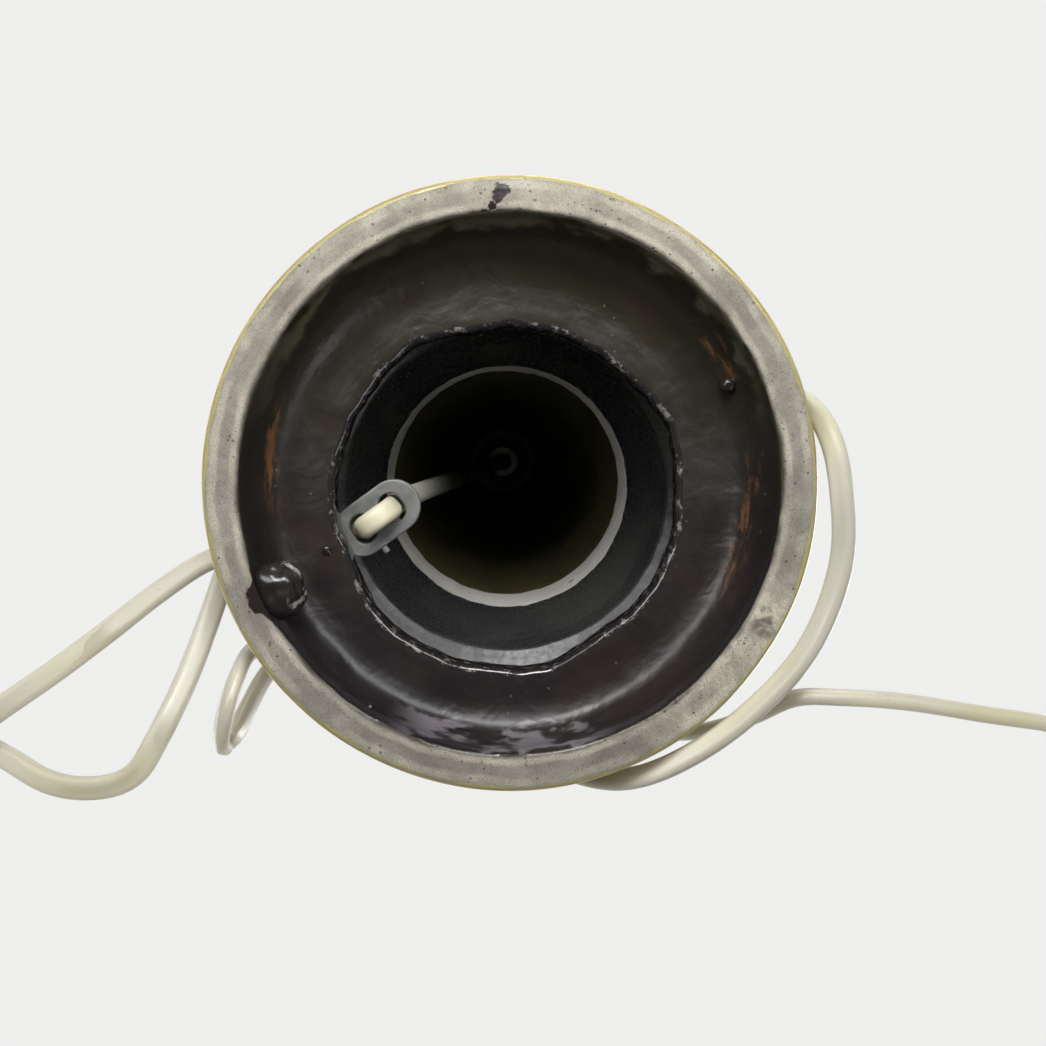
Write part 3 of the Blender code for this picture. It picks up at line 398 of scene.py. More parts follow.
@dataclass(frozen=True)
class FootClay(Finish):
    """Bare fired clay of the foot ring, dirty and pinholed, with glaze at both edges."""

    pale: Colour = (0.43, 0.395, 0.310)
    middle: Colour = (0.205, 0.191, 0.158)
    dark: Colour = (0.092, 0.085, 0.069)
    dirt: Colour = (0.046, 0.041, 0.033)
    outer_glaze: Colour = (0.25, 0.228, 0.085)
    inner_glaze: Colour = (0.030, 0.027, 0.018)
    black_glaze: Colour = (0.014, 0.011, 0.010)
    outer_edge: float = 0.0669
    inner_edge: float = 0.0600
    # Centre of the painted light: the ring's clay is painted paler towards it.
    painted_light_centre: Sequence[float] = (-0.0560, -0.0230, 0.0)
    pale_low: Sequence[float] = (0.0520, -0.0370, 0.0)
    smudge: Sequence[float] = (0.0440, -0.0466, 0.0)
    scratched: Sequence[float] = (0.0540, -0.0350, 0.0)
    pit: Sequence[Sequence[float]] = (
        (-0.0625, -0.0146, 0), (-0.0612, -0.0136, 0), (-0.0600, -0.0118, 0), (-0.0589, -0.0098, 0),
    )
    pit_size: float = 0.0020
    pit_shrink: float = 0.0004
    pit_soft: float = 0.0004
    gob: Sequence[float] = (0.0102, 0.0560, 0.0)
    gob_radius: float = 0.0064

    def make(self) -> bpy.types.Material:
        """Stains, grain, pinholes, scratches, a smudge, a pit, the two glaze lines and painted
        light.

        Returns:
            The material.
        """
        g = Graph(self.name)
        stains = g.ease(g.noise(44, 5, 0.66, warp=0.7), 0.38, 0.64)
        mottle = g.ease(g.noise(170, 4, 0.66), 0.36, 0.66)
        # Painted light: the clay grows paler towards the side of the ring the light falls on; a
        # second, smaller pale patch lies lower down.
        top = g.ease(g.near(self.painted_light_centre), 0.066, 0.022, 0.0, 0.22)
        low = g.ease(g.near(self.pale_low), 0.032, 0.010)
        body = g.mix(g.most(top, low), self.middle, self.pale)
        body = g.mix(g.times(stains, 0.62), body, self.dark)
        body = g.mix(g.times(mottle, 0.48), body, self.dark)
        radius = g.plus(g.radius(), g.ease(g.noise(110, 4), 0.2, 0.8, -0.00045, 0.00045))
        worn = g.most(
            g.window(radius, 0.0656, 0.0014, 0.0010), g.window(radius, 0.0613, 0.0011, 0.0008),
        )
        worn = g.times(worn, g.ease(g.noise(60, 4, 0.6), 0.40, 0.62, 0.06, 0.42))
        body = g.mix(worn, body, self.pale)
        grain = g.noise(2600, 3, 0.7)
        body = g.mix(g.ease(grain, 0.40, 0.68, 0.0, 0.42), body, self.dirt)
        holes = g.times(g.dots(560, 0.20), g.ease(g.noise(70, 2), 0.46, 0.58))
        specks = g.times(g.dots(1200, 0.22), g.ease(g.noise(90, 2), 0.44, 0.60))
        where = g.stretch((520, 4200, 0))
        scratches = g.times(
            g.ease(g.noise(1, 2, 0.6, where), 0.60, 0.66),
            g.ease(g.near(self.scratched), 0.0160, 0.0060),
        )
        body = g.mix(g.times(scratches, 0.65), body, self.dirt)
        smudge = g.times(
            g.ease(g.near(self.smudge), 0.0062, 0.0016), g.ease(g.noise(420, 4), 0.40, 0.62),
        )
        wander = g.ease(g.noise(620, 3), 0.3, 0.7, -0.0004, 0.0004)
        pit: Socket | float = 0.0
        for i, point in enumerate(self.pit):
            size = self.pit_size - self.pit_shrink * i
            spot = g.ease(g.plus(g.near(point), wander), size, size - self.pit_soft)
            pit = g.most(pit, spot)
        edge = g.ease(g.noise(170, 3), 0.2, 0.8, -0.0011, 0.0011)
        gob = g.ease(g.plus(g.near(self.gob), edge), self.gob_radius, self.gob_radius - 0.0006)
        marks = g.most(g.most(holes, specks), smudge)
        body = g.mix(g.times(marks, 0.8), body, self.dirt)
        outer = g.ease(radius, self.outer_edge - 0.0004, self.outer_edge + 0.0003)
        inner = g.ease(radius, self.inner_edge + 0.0009, self.inner_edge - 0.0004)
        body = g.mix(outer, body, self.outer_glaze)
        body = g.mix(inner, body, self.inner_glaze)
        lumps = g.most(pit, gob)
        body = g.mix(lumps, body, self.black_glaze)
        glazed = g.most(g.most(outer, inner), lumps)
        relief = g.bump(g.noise(420, 4, 0.6), 0.00012)
        relief = g.bump(grain, 0.00004, relief)
        relief = g.bump(g.step("SUBTRACT", 1.0, g.most(holes, pit)), 0.00016, relief)
        return g.finish(
            Base_Color=body, Roughness=g.ease(glazed, 0.0, 1.0, 0.82, 0.20), Normal=relief,
            Specular_IOR_Level=0.4,
        )


@dataclass(frozen=True)
class DarkGlaze(Finish):
    """Black-brown glossy glaze over thrown clay."""

    black: Colour = (0.0105, 0.0088, 0.0085)
    olive: Colour = (0.020, 0.0185, 0.0100)
    ring_pitch: float = 0.0046
    ring_depth: float = 0.00035
    roughness: float = 0.13
    specular: float = 0.5
    coat: float = 0.25
    waves: float = 0.00022

    def make(self) -> bpy.types.Material:
        """Olive clouds, throwing rings and a leathery skin.

        Returns:
            The material.
        """
        g = Graph(self.name)
        clouds = g.ease(g.noise(26, 3, 0.6, warp=0.6), 0.42, 0.66)
        body = g.mix(clouds, self.black, self.olive)
        skin = g.noise(900, 3, 0.6, warp=0.4)
        rings = g.noise(1, 2, 0.5, g.stretch((9, 9, 1 / self.ring_pitch)))
        relief = g.bump(rings, self.ring_depth)
        relief = g.bump(g.noise(150, 2, 0.5), self.waves, relief)
        relief = g.bump(skin, 0.000022, relief)
        return g.finish(
            Base_Color=body,
            Roughness=g.ease(skin, 0.3, 0.8, self.roughness, self.roughness + 0.12),
            Normal=relief, Specular_IOR_Level=self.specular, Coat_Weight=self.coat,
            Coat_Roughness=0.08,
        )


@dataclass(frozen=True)
class RecessGlaze(Finish):
    """Under-foot glaze: purple-black one side, olive the other, rust streaks, a painted highlight.
    """

    purple: Colour = (0.0100, 0.0082, 0.0090)
    olive: Colour = (0.0135, 0.0120, 0.0065)
    brown: Colour = (0.0200, 0.0140, 0.0095)
    rim: Colour = (0.085, 0.080, 0.047)
    rim_radius: float = 0.0592
    rust: Colour = (0.105, 0.046, 0.017)
    dust_and_shade: Colour = (0.10, 0.085, 0.065)
    olive_side: Sequence[float] = (-0.9666, -0.2564, 0.0)
    # The painted highlight's colour, and where it lies round the axis and out from it.
    painted_highlight: Colour = (0.120, 0.108, 0.118)
    highlight_bearing: float = 17.0
    highlight_half: float = 27.0
    highlight_soft: float = 12.0
    highlight_radius: float = 0.0583
    ridge: float = 0.0553
    streaks: Sequence[tuple[float, float]] = ((247, 262), (275, 318), (95, 127))

    def make(self) -> bpy.types.Material:
        """Tint by side, brown haze, rust streaks that run round, a painted highlight, soft waves
        and a skin.

        Returns:
            The material.
        """
        g = Graph(self.name)
        body = g.mix(g.ease(g.along(self.olive_side), -0.030, 0.045), self.purple, self.olive)
        clouds = g.ease(g.noise(30, 4, 0.64, warp=0.9), 0.44, 0.70)
        body = g.mix(g.times(clouds, 0.55), body, self.brown)
        haze = g.ease(g.noise(170, 4, 0.7), 0.50, 0.78)
        body = g.mix(g.times(haze, 0.30), body, self.brown)
        bearing = g.bearing()
        sides: Socket | float = 0.0
        for start, end in self.streaks:
            middle = (start + end) / 2
            turned = math.radians(middle - 360 if middle > 180 else middle)
            half = math.radians((end - start) / 2)
            sides = g.most(g.window(bearing, turned, half, half * 0.5), sides)
        radius = g.plus(g.radius(), g.ease(g.noise(90, 3, 0.6), 0.2, 0.8, -0.0016, 0.0016))
        ridge = g.window(radius, self.ridge, 0.0021, 0.0016)
        streaks = g.ease(g.noise(1, 3, 0.62, g.polar(7, 620, 260)), 0.46, 0.62)
        breaks = g.times(g.times(ridge, streaks), sides)
        body = g.mix(g.times(breaks, 0.72), body, self.rust)
        # Painted highlight: a pale purple-grey patch on the wall next to the foot ring, on one side
        # only, where a reflection of the light shows.
        low = g.window(
            bearing,
            *(math.radians(a) for a in (self.highlight_bearing, self.highlight_half, self.highlight_soft)),
        )
        painted_highlight = g.times(g.window(radius, self.highlight_radius, 0.0015, 0.0006), low)
        painted_highlight = g.times(painted_highlight, g.ease(g.noise(1, 3, 0.6, g.polar(5, 380, 120)), 0.40, 0.50))
        body = g.mix(g.times(painted_highlight, 0.85), body, self.painted_highlight)
        rim = g.times(
            g.window(radius, self.rim_radius, 0.0016, 0.0014),
            g.ease(g.along(self.olive_side), 0.005, 0.045),
        )
        body = g.mix(g.times(rim, 0.8), body, self.rim)
        skin = g.noise(900, 3, 0.6, warp=0.4)
        relief = g.bump(g.noise(95, 3, 0.55, warp=0.5), 0.00055)
        relief = g.bump(g.noise(1, 2, 0.5, g.polar(3, 240, 240)), 0.00018, relief)
        relief = g.bump(skin, 0.000025, relief)
        dots = g.times(g.dots(260, 0.10), g.ease(g.noise(50, 2), 0.5, 0.6))
        body = g.mix(g.times(dots, 0.5), body, self.dust_and_shade)
        return g.finish(
            Base_Color=body, Roughness=g.ease(g.noise(60, 3), 0.3, 0.7, 0.27, 0.42), Normal=relief,
            Specular_IOR_Level=0.36, Coat_Weight=0.05, Coat_Roughness=0.15,
        )


@dataclass(frozen=True)
class LipGlaze(Finish):
    """Glaze on the hand-cut edge of the opening, pale where it is thin, with a painted highlight.
    """

    black: Colour = (0.014, 0.012, 0.012)
    thin: Colour = (0.26, 0.25, 0.225)

    def make(self) -> bpy.types.Material:
        """Pale broken dashes that run along the edge: thin glaze and a painted highlight.

        Returns:
            The material.
        """
        g = Graph(self.name)
        # The pale dashes are glaze worn thin over the sharp edge and also a painted highlight along
        # it.
        thin_glaze_and_highlight = g.ease(g.noise(1, 4, 0.7, g.polar(16, 520, 520)), 0.52, 0.66)
        body = g.mix(g.times(thin_glaze_and_highlight, 0.42), self.black, self.thin)
        relief = g.bump(g.noise(300, 3, 0.6), 0.00013)
        return g.finish(
            Base_Color=body, Roughness=g.ease(thin_glaze_and_highlight, 0.0, 1.0, 0.16, 0.42), Normal=relief,
            Specular_IOR_Level=0.5, Coat_Weight=0.3, Coat_Roughness=0.1,
        )


@dataclass(frozen=True)
class GobGlaze(Finish):
    """A glossy black lump with a thin pale arc where the clay shows through."""

    black: Colour = (0.012, 0.010, 0.0095)
    clay: Colour = (0.27, 0.255, 0.225)
    centre: Sequence[float] = (0.0094, 0.0549, 0.0)
    arc: float = 0.0053
    arc_side: Sequence[float] = (0.0, -1.0, 0.0)

    def make(self) -> bpy.types.Material:
        """The arc on the side towards the lamp's axis, broken up a little.

        Returns:
            The material.
        """
        g = Graph(self.name)
        wander = g.ease(g.noise(240, 3), 0.2, 0.8, -0.0007, 0.0007)
        away = g.plus(g.near(self.centre, (1, 1, 0)), wander)
        ring = g.window(away, self.arc, 0.00065, 0.0004)
        side = g.ease(g.along(self.arc_side), -0.0545, -0.0530)
        patchy = g.ease(g.noise(700, 3), 0.36, 0.56)
        arc = g.times(g.times(ring, side), patchy)
        body = g.mix(g.times(arc, 0.8), self.black, self.clay)
        return g.finish(
            Base_Color=body, Roughness=g.ease(arc, 0.0, 1.0, 0.24, 0.5),
            Normal=g.bump(g.noise(260, 2), 0.00012), Specular_IOR_Level=0.5,
        )


@dataclass(frozen=True)
class BandClay(Finish):
    """Cream bare clay left in a band inside the neck."""

    cream: Colour = (0.86, 0.84, 0.78)
    shade: Colour = (0.68, 0.65, 0.57)
    speck: Colour = (0.10, 0.085, 0.06)
    glaze: Colour = (0.02, 0.018, 0.014)
    specks: Sequence[Sequence[float]] = ((0.0404, 0.0136, 0.104), (0.0385, -0.0107, 0.104))
    foot: float = 0.096
    top: float = 0.1145

    def make(self) -> bpy.types.Material:
        """Fine turning lines, a little staining, and glaze creeping over both edges.

        Returns:
            The material.
        """
        g = Graph(self.name)
        body = g.mix(g.ease(g.noise(70, 3), 0.35, 0.7, 0.0, 0.7), self.cream, self.shade)
        lines = g.noise(1, 2, 0.6, g.stretch((25, 25, 1500)))
        body = g.mix(g.ease(lines, 0.5, 0.8, 0.0, 0.35), body, self.shade)
        spots = g.dots(300, 0.12)
        for point in self.specks:
            spots = g.most(spots, g.ease(g.near(point), 0.0013, 0.0007))
        body = g.mix(g.times(spots, 0.8), body, self.speck)
        wander = g.plus(g.height(), g.ease(g.noise(140, 3), 0.2, 0.8, -0.0007, 0.0007))
        low = g.ease(wander, self.foot + 0.0009, self.foot + 0.0003)
        high = g.ease(wander, self.top - 0.0017, self.top - 0.0009)
        edge = g.most(low, high)
        body = g.mix(edge, body, self.glaze)
        relief = g.bump(lines, 0.00006)
        relief = g.bump(g.noise(1800, 3, 0.6), 0.00003, relief)
        return g.finish(
            Base_Color=body, Roughness=g.ease(edge, 0.0, 1.0, 0.78, 0.18), Normal=relief,
            Specular_IOR_Level=0.35,
        )


@dataclass(frozen=True)
class OchreGlaze(Finish):
    """Ochre satin glaze of the outside, darker where it thins on edges, with iron specks."""

    ochre: Colour = (0.36, 0.255, 0.075)
    olive: Colour = (0.215, 0.190, 0.060)
    break_colour: Colour = (0.17, 0.075, 0.022)
    speck: Colour = (0.055, 0.030, 0.014)
    ring_pitch: float = 0.0042

    def make(self) -> bpy.types.Material:
        """Drifting ochre and olive, darker throwing ridges, specks and a fine crackle-free skin.

        Returns:
            The material.
        """
        g = Graph(self.name)
        drift = g.noise(13, 4, 0.6, g.stretch((1, 1, 0.55)), warp=0.5)
        body = g.mix(g.ease(drift, 0.36, 0.66), self.ochre, self.olive)
        rings = g.noise(1, 2, 0.5, g.stretch((7, 7, 1 / self.ring_pitch)))
        body = g.mix(g.ease(rings, 0.54, 0.74, 0.0, 0.55), body, self.break_colour)
        radius = g.radius()
        wide = g.times(g.ease(radius, 0.0664, 0.0680), g.ease(g.height(), 0.0, 0.0030, 1.0, 0.25))
        ledge = g.times(g.ease(radius, 0.0612, 0.0630), g.ease(g.height(), 0.0145, 0.0168))
        edge = g.times(g.most(wide, ledge), g.ease(g.noise(110, 3), 0.35, 0.62))
        body = g.mix(g.times(edge, 0.8), body, self.break_colour)
        crown = g.ease(g.height(), 0.2588, 0.2612)
        body = g.mix(g.times(crown, 0.7), body, self.break_colour)
        specks = g.times(g.dots(210, 0.13), g.ease(g.noise(60, 2), 0.45, 0.6))
        body = g.mix(g.times(specks, 0.75), body, self.speck)
        skin = g.noise(700, 3, 0.6)
        relief = g.bump(rings, 0.00045)
        relief = g.bump(g.noise(95, 3, 0.5), 0.00030, relief)
        relief = g.bump(skin, 0.00002, relief)
        return g.finish(
            Base_Color=body, Roughness=g.ease(g.noise(45, 3), 0.3, 0.7, 0.24, 0.40), Normal=relief,
            Specular_IOR_Level=0.5, Coat_Weight=0.3, Coat_Roughness=0.18,
        )


@dataclass(frozen=True)
class Surface(Finish):
    """A plain made surface: moulded plastic, rubber, porcelain or worked metal."""

    colour: Colour = (0.5, 0.5, 0.5)
    second: Colour = (0.4, 0.4, 0.4)
    roughness: float = 0.4
    spread: float = 0.1
    cloud: float = 90
    grain: float = 2400
    relief: float = 0.00002
    metallic: float = 0.0
    turned: bool = False
    coat: float = 0.0
    subsurface: float = 0.0
    specular: float = 0.5

    def make(self) -> bpy.types.Material:
        """Clouded colour, uneven gloss, and a grain that runs round a turned piece.

        Returns:
            The material.
        """
        g = Graph(self.name)
        clouds = g.noise(self.cloud, 4, 0.6)
        if self.turned:
            rings = g.nodes.new("ShaderNodeCombineXYZ")
            g.feed(rings.inputs[0], g.radius())
            g.feed(rings.inputs[2], g.height())
            grain = g.noise(self.grain, 3, 0.6, rings.outputs[0])
        else:
            grain = g.noise(self.grain, 3, 0.6)
        body = g.mix(g.ease(clouds, 0.32, 0.70), self.colour, self.second)
        body = g.mix(g.ease(grain, 0.45, 0.85, 0.0, 0.22), body, self.second)
        gloss = g.plus(
            g.ease(clouds, 0.25, 0.75, self.roughness, self.roughness + self.spread),
            g.ease(grain, 0.3, 0.7, -0.03, 0.03),
        )
        return g.finish(
            Base_Color=body, Roughness=gloss, Normal=g.bump(grain, self.relief),
            Metallic=self.metallic, Coat_Weight=self.coat, Specular_IOR_Level=self.specular,
            Subsurface_Weight=self.subsurface, Subsurface_Scale=0.001,
        )


@dataclass(frozen=True)
class FlexSkin(Finish):
    """Ivory vinyl, slightly glossy, handled and yellowed in places."""

    ivory: Colour = (0.475, 0.460, 0.385)
    yellow: Colour = (0.42, 0.385, 0.225)
    pink: Colour = (0.43, 0.380, 0.310)
    grime: Colour = (0.22, 0.19, 0.13)
    # The near-black colour of the painted shade.
    dust_and_shade: Colour = (0.030, 0.027, 0.016)
    flush_shift: Sequence[float] = (3, 5, 7)
    shaded_heights: tuple[float, float] | None = None

    def make(self) -> bpy.types.Material:
        """Slow shifts of tint along the flex, faint grime, a soft sheen, and painted shade that can
        darken it with height.

        Returns:
            The material.
        """
        g = Graph(self.name)
        body = g.mix(g.ease(g.noise(28, 2), 0.40, 0.68, 0.0, 0.55), self.ivory, self.yellow)
        flush = g.noise(17, 2, 0.5, g.stretch((1, 1, 1), self.flush_shift))
        body = g.mix(g.ease(flush, 0.55, 0.72, 0.0, 0.30), body, self.pink)
        marks = g.times(
            g.ease(g.noise(620, 4, 0.7), 0.58, 0.74), g.ease(g.noise(55, 2), 0.46, 0.62),
        )
        body = g.mix(g.times(marks, 0.32), body, self.grime)
        # Painted shade: the flex darkens towards near black as it rises into the neck.
        if self.shaded_heights:
            body = g.mix(g.ease(g.height(), *self.shaded_heights, 0.0, 0.96), body, self.dust_and_shade)
        relief = g.bump(g.noise(260, 3), 0.00008)
        return g.finish(
            Base_Color=body, Roughness=g.ease(g.noise(120, 3), 0.3, 0.7, 0.30, 0.46), Normal=relief,
            Specular_IOR_Level=0.5, Subsurface_Weight=0.12, Subsurface_Scale=0.0012,
        )


@dataclass(frozen=True)
class FrostedNylon(Finish):
    """Milky see-through nylon of the strain buckle."""

    milk: Colour = (0.165, 0.168, 0.163)
    cloudy: Colour = (0.105, 0.107, 0.102)

    def make(self) -> bpy.types.Material:
        """A frosted skin that lets a little light through.

        Returns:
            The material.
        """
        g = Graph(self.name)
        body = g.mix(g.ease(g.noise(240, 3), 0.35, 0.68), self.milk, self.cloudy)
        relief = g.bump(g.noise(2200, 2), 0.00002)
        return g.finish(
            Base_Color=body, Roughness=g.ease(g.noise(300, 3), 0.3, 0.7, 0.32, 0.46), Normal=relief,
            Transmission_Weight=0.22, IOR=1.5, Subsurface_Weight=0.35, Subsurface_Scale=0.002,
        )


FOOT_CLAY = FootClay("bare_foot_clay")
RECESS_GLAZE = RecessGlaze("recess_glaze")
LIP_GLAZE = LipGlaze("lip_glaze")
GOB_GLAZE = GobGlaze("gob_glaze")
CHAMBER_GLAZE = DarkGlaze(
    "chamber_glaze", black=(0.030, 0.029, 0.030), olive=(0.044, 0.043, 0.038), ring_pitch=0.0034,
    roughness=0.24, specular=0.28, coat=0.0,
)
NECK_GLAZE = DarkGlaze(
    "neck_glaze", black=(0.075, 0.066, 0.028), olive=(0.115, 0.098, 0.042), ring_pitch=0.0060,
    roughness=0.40,
)
# Painted shade: zinc darkened far below its own colour, for the tube, nut and washer deep in the
# neck.
SHADED_ZINC = Surface(
    "shaded_zinc", (0.050, 0.050, 0.040), (0.030, 0.030, 0.024), 0.55, 0.15, 160, 2600, 0.00001, 0.3,
    True,
)
BAND_CLAY = BandClay("bare_band_clay")
OCHRE_GLAZE = OchreGlaze("ochre_glaze")
FLEX_SKIN = FlexSkin("ivory_vinyl_skin")
# The flex inside the lamp, with painted shade that deepens with height.
INNER_FLEX_SKIN = FlexSkin("shaded_vinyl_skin", shaded_heights=(0.030, 0.105))
NYLON = FrostedNylon("frosted_nylon_plate")
BRASS = Surface(
    "turned_brass", (0.80, 0.60, 0.27), (0.62, 0.42, 0.17), 0.17, 0.13, 60, 3000, 0.000012, 1.0,
    True,
)
AGED_BRASS = Surface(
    "aged_brass", (0.68, 0.50, 0.24), (0.46, 0.31, 0.13), 0.26, 0.14, 140, 2200, 0.00001, 1.0,
)
ZINC = Surface(
    "zinc_plate", (0.60, 0.61, 0.62), (0.44, 0.45, 0.45), 0.30, 0.16, 160, 2600, 0.00001, 1.0, True,
)
NICKEL = Surface(
    "nickel_plate", (0.74, 0.73, 0.70), (0.60, 0.59, 0.56), 0.16, 0.12, 120, 2600, 0.000008, 1.0,
)
BLACK_MOULDING = Surface(
    "black_moulding", (0.016, 0.015, 0.0145), (0.024, 0.021, 0.018), 0.20, 0.14, 70, 1700, 0.000012,
    coat=0.2,
)
PALE_MOULDING = Surface(
    "off_white_moulding", (0.60, 0.59, 0.52), (0.45, 0.43, 0.35), 0.42, 0.14, 220, 1700, 0.00002,
    subsurface=0.1,
)
PLUG_VINYL = Surface(
    "ivory_plug_vinyl", (0.56, 0.54, 0.465), (0.49, 0.46, 0.37), 0.38, 0.12, 40, 1500, 0.00002,
    subsurface=0.08,
)
PORCELAIN = Surface(
    "white_porcelain", (0.80, 0.79, 0.74), (0.70, 0.68, 0.62), 0.12, 0.10, 120, 900, 0.00001,
    coat=0.4,
)
RUBBER = Surface(
    "grey_rubber_sheet", (0.055, 0.055, 0.055), (0.085, 0.083, 0.08), 0.72, 0.12, 200, 2600,
)
BROWN_CORE = Surface("brown_core_skin", (0.16, 0.065, 0.03), (0.12, 0.05, 0.025), 0.38, 0.1, 150)
BLUE_CORE = Surface("blue_core_skin", (0.03, 0.10, 0.33), (0.025, 0.08, 0.26), 0.38, 0.1, 150)


# ---------------------------------------------------------------- shaping helpers


def smooth_line(knots: Sequence[Sequence[float]], step: float) -> list[Vector]:
    """Points on a centripetal Catmull-Rom line through knots of any number of values.

    Args:
        knots: The knots. The first three values are the place.
        step: Rough distance between points.

    Returns:
        The points, with all the values of a knot.
    """
    knots = [Vector(knot) for knot in knots]
    run = [2 * knots[0] - knots[1], *knots, 2 * knots[-1] - knots[-2]]
    points = []
    for before, start, end, after in zip(run, run[1:], run[2:], run[3:]):
        lead, span, trail = (
            math.sqrt((b.xyz - a.xyz).length) for a, b in (
                (before, start), (start, end), (end, after),
            )
        )
        leave = span * (
            (start - before) / lead - (end - before) / (lead + span) + (end - start) / span
        )
        arrive = span * (
            (end - start) / span - (after - start) / (span + trail) + (after - end) / trail
        )
        count = max(1, round((end.xyz - start.xyz).length / step))
        for i in range(count):
            t = i / count
            points.append(
                start * (2 * t**3 - 3 * t**2 + 1) + leave * (t**3 - 2 * t**2 + t)
                + end * (3 * t**2 - 2 * t**3) + arrive * (t**3 - t**2)
            )
    return [*points, knots[-1]]


def curve_outline(knots: Outline, step: float) -> Outline:
    """A smooth stretch of an outline.

    Args:
        knots: Radius and height of each knot.
        step: Rough distance between points.

    Returns:
        The stretch's points.
    """
    return [(p.x, p.z) for p in smooth_line([(r, 0.0, z) for r, z in knots], step)]


def quarter(steps: int) -> list[float]:
    """Angles of a quarter turn in equal steps, with both ends."""
    return [math.pi / 2 * i / steps for i in range(steps + 1)]


def soften(outline: Outline, radius: float, steps: int = 3, closed: bool = True) -> Outline:
    """Round an outline's corners.

    Args:
        outline: Radius and height of each corner.
        radius: How far from a corner its rounding starts, at most.
        steps: Segments in a rounding.
        closed: Whether the outline's ends meet.

    Returns:
        The rounded outline.
    """
    count = len(outline)
    corners = [Vector(p) for p in outline]
    rounded: Outline = []
    for i, corner in enumerate(corners):
        if not closed and i in (0, count - 1):
            rounded.append(tuple(corner))
            continue
        before, after = corners[i - 1] - corner, corners[(i + 1) % count] - corner
        if before.length < WELD or after.length < WELD or before.angle(-after) < math.radians(12):
            rounded.append(tuple(corner))
            continue
        start = corner + before.normalized() * min(radius, before.length * 0.45)
        end = corner + after.normalized() * min(radius, after.length * 0.45)
        for j in range(steps + 1):
            t = j / steps
            rounded.append(tuple(start * (1 - t) ** 2 + corner * 2 * t * (1 - t) + end * t**2))
    return rounded


def split_long(outline: Outline, step: float, closed: bool = True) -> Outline:
    """Divide an outline's long segments.

    Args:
        outline: Radius and height of each point.
        step: The longest segment to leave.
        closed: Whether the outline's ends meet.

    Returns:
        The divided outline.
    """
    ends = outline[1:] + (outline[:1] if closed else [])
    divided: Outline = []
    for (r0, z0), (r1, z1) in zip(outline, ends):
        count = max(1, math.ceil(math.hypot(r1 - r0, z1 - z0) / step))
        divided += [(r0 + (r1 - r0) * i / count, z0 + (z1 - z0) * i / count) for i in range(count)]
    return divided if closed else [*divided, outline[-1]]


def lathe(
    outline: Outline, sides: int = 96, rounding: float = 0.0003, step: float = 1.0
) -> bmesh.types.BMesh:
    """Spin an outline about Z. One that starts on the axis ends there too.

    Args:
        outline: Radius and height of each corner.
        sides: Facets round the axis.
        rounding: Size of the rounding at each corner.
        step: The longest segment of the outline to leave.

    Returns:
        The closed body.
    """
    closed = outline[0][0] > WELD
    points = soften(outline, rounding, 3, closed) if rounding else outline
    points = split_long(points, step, closed)
    bm = bmesh.new()
    verts = [bm.verts.new((r, 0, z)) for r, z in points]
    pairs = list(zip(verts, verts[1:])) + ([(verts[-1], verts[0])] if closed else [])
    edges = [bm.edges.new(pair) for pair in pairs]
    bmesh.ops.spin(
        bm, geom=verts + edges, cent=(0, 0, 0), axis=(0, 0, 1), angle=math.tau, steps=sides,
        use_merge=True,
    )
    bmesh.ops.remove_doubles(bm, verts=bm.verts, dist=WELD)
    bmesh.ops.recalc_face_normals(bm, faces=bm.faces)
    return bm


def reshape(bm: bmesh.types.BMesh, change: Callable[[float, float, float], float]) -> None:
    """Move each point of a turned body in or out.

    Args:
        bm: The body, about Z.
        change: Gives the change of radius at a bearing, a radius and a height.
    """
    for vertex in bm.verts:
        radius = math.hypot(vertex.co.x, vertex.co.y)
        if radius > WELD:
            bearing = math.atan2(vertex.co.y, vertex.co.x)
            share = 1 + change(bearing, radius, vertex.co.z) / radius
            vertex.co.x *= share
            vertex.co.y *= share


def thread(
    inner: float, outer: float, foot: float, top: float, pitch: float, depth: float
) -> Callable[[float, float, float], float]:
    """A rounded screw thread for reshape.

    Args:
        inner: Least radius of the threaded wall.
        outer: Greatest radius of the threaded wall.
        foot: Where the thread starts.
        top: Where it ends.
        pitch: Height of a turn.
        depth: Depth of the thread, cut into the wall.

    Returns:
        The change of radius.
    """

    def change(bearing: float, radius: float, height: float) -> float:
        """How far the thread moves a point.

        Args:
            bearing: The point's bearing.
            radius: Its radius.
            height: Its height.

        Returns:
            The change of radius, which isn't above 0.
        """
        if not (inner <= radius <= outer and foot < height < top):
            return 0.0
        fade = min(1.0, (height - foot) / pitch, (top - height) / pitch)
        wave = 0.5 - 0.5 * math.cos(math.tau * height / pitch - bearing)
        return -depth * fade * wave

    return change


def extrude(
    bm: bmesh.types.BMesh, faces: Sequence[bmesh.types.BMFace], move: Sequence[float]
) -> None:
    """Draw flat faces out into a body.

    Args:
        bm: What holds the faces.
        faces: The faces.
        move: How far they are drawn.
    """
    swept = bmesh.ops.extrude_face_region(bm, geom=faces)["geom"]
    points = [v for v in swept if isinstance(v, bmesh.types.BMVert)]
    bmesh.ops.translate(bm, verts=points, vec=move)


def turn_matrix(place: Sequence[float], spin: float = 0.0, tip: float = 0.0) -> Matrix:
    """Place a body that was built about its own origin.

    Args:
        place: Where its origin goes.
        spin: Turn about Z, last, in radians.
        tip: Turn about Y, first, in radians.

    Returns:
        The transform.
    """
    return Matrix.Translation(place) @ Matrix.Rotation(spin, 4, "Z") @ Matrix.Rotation(tip, 4, "Y")


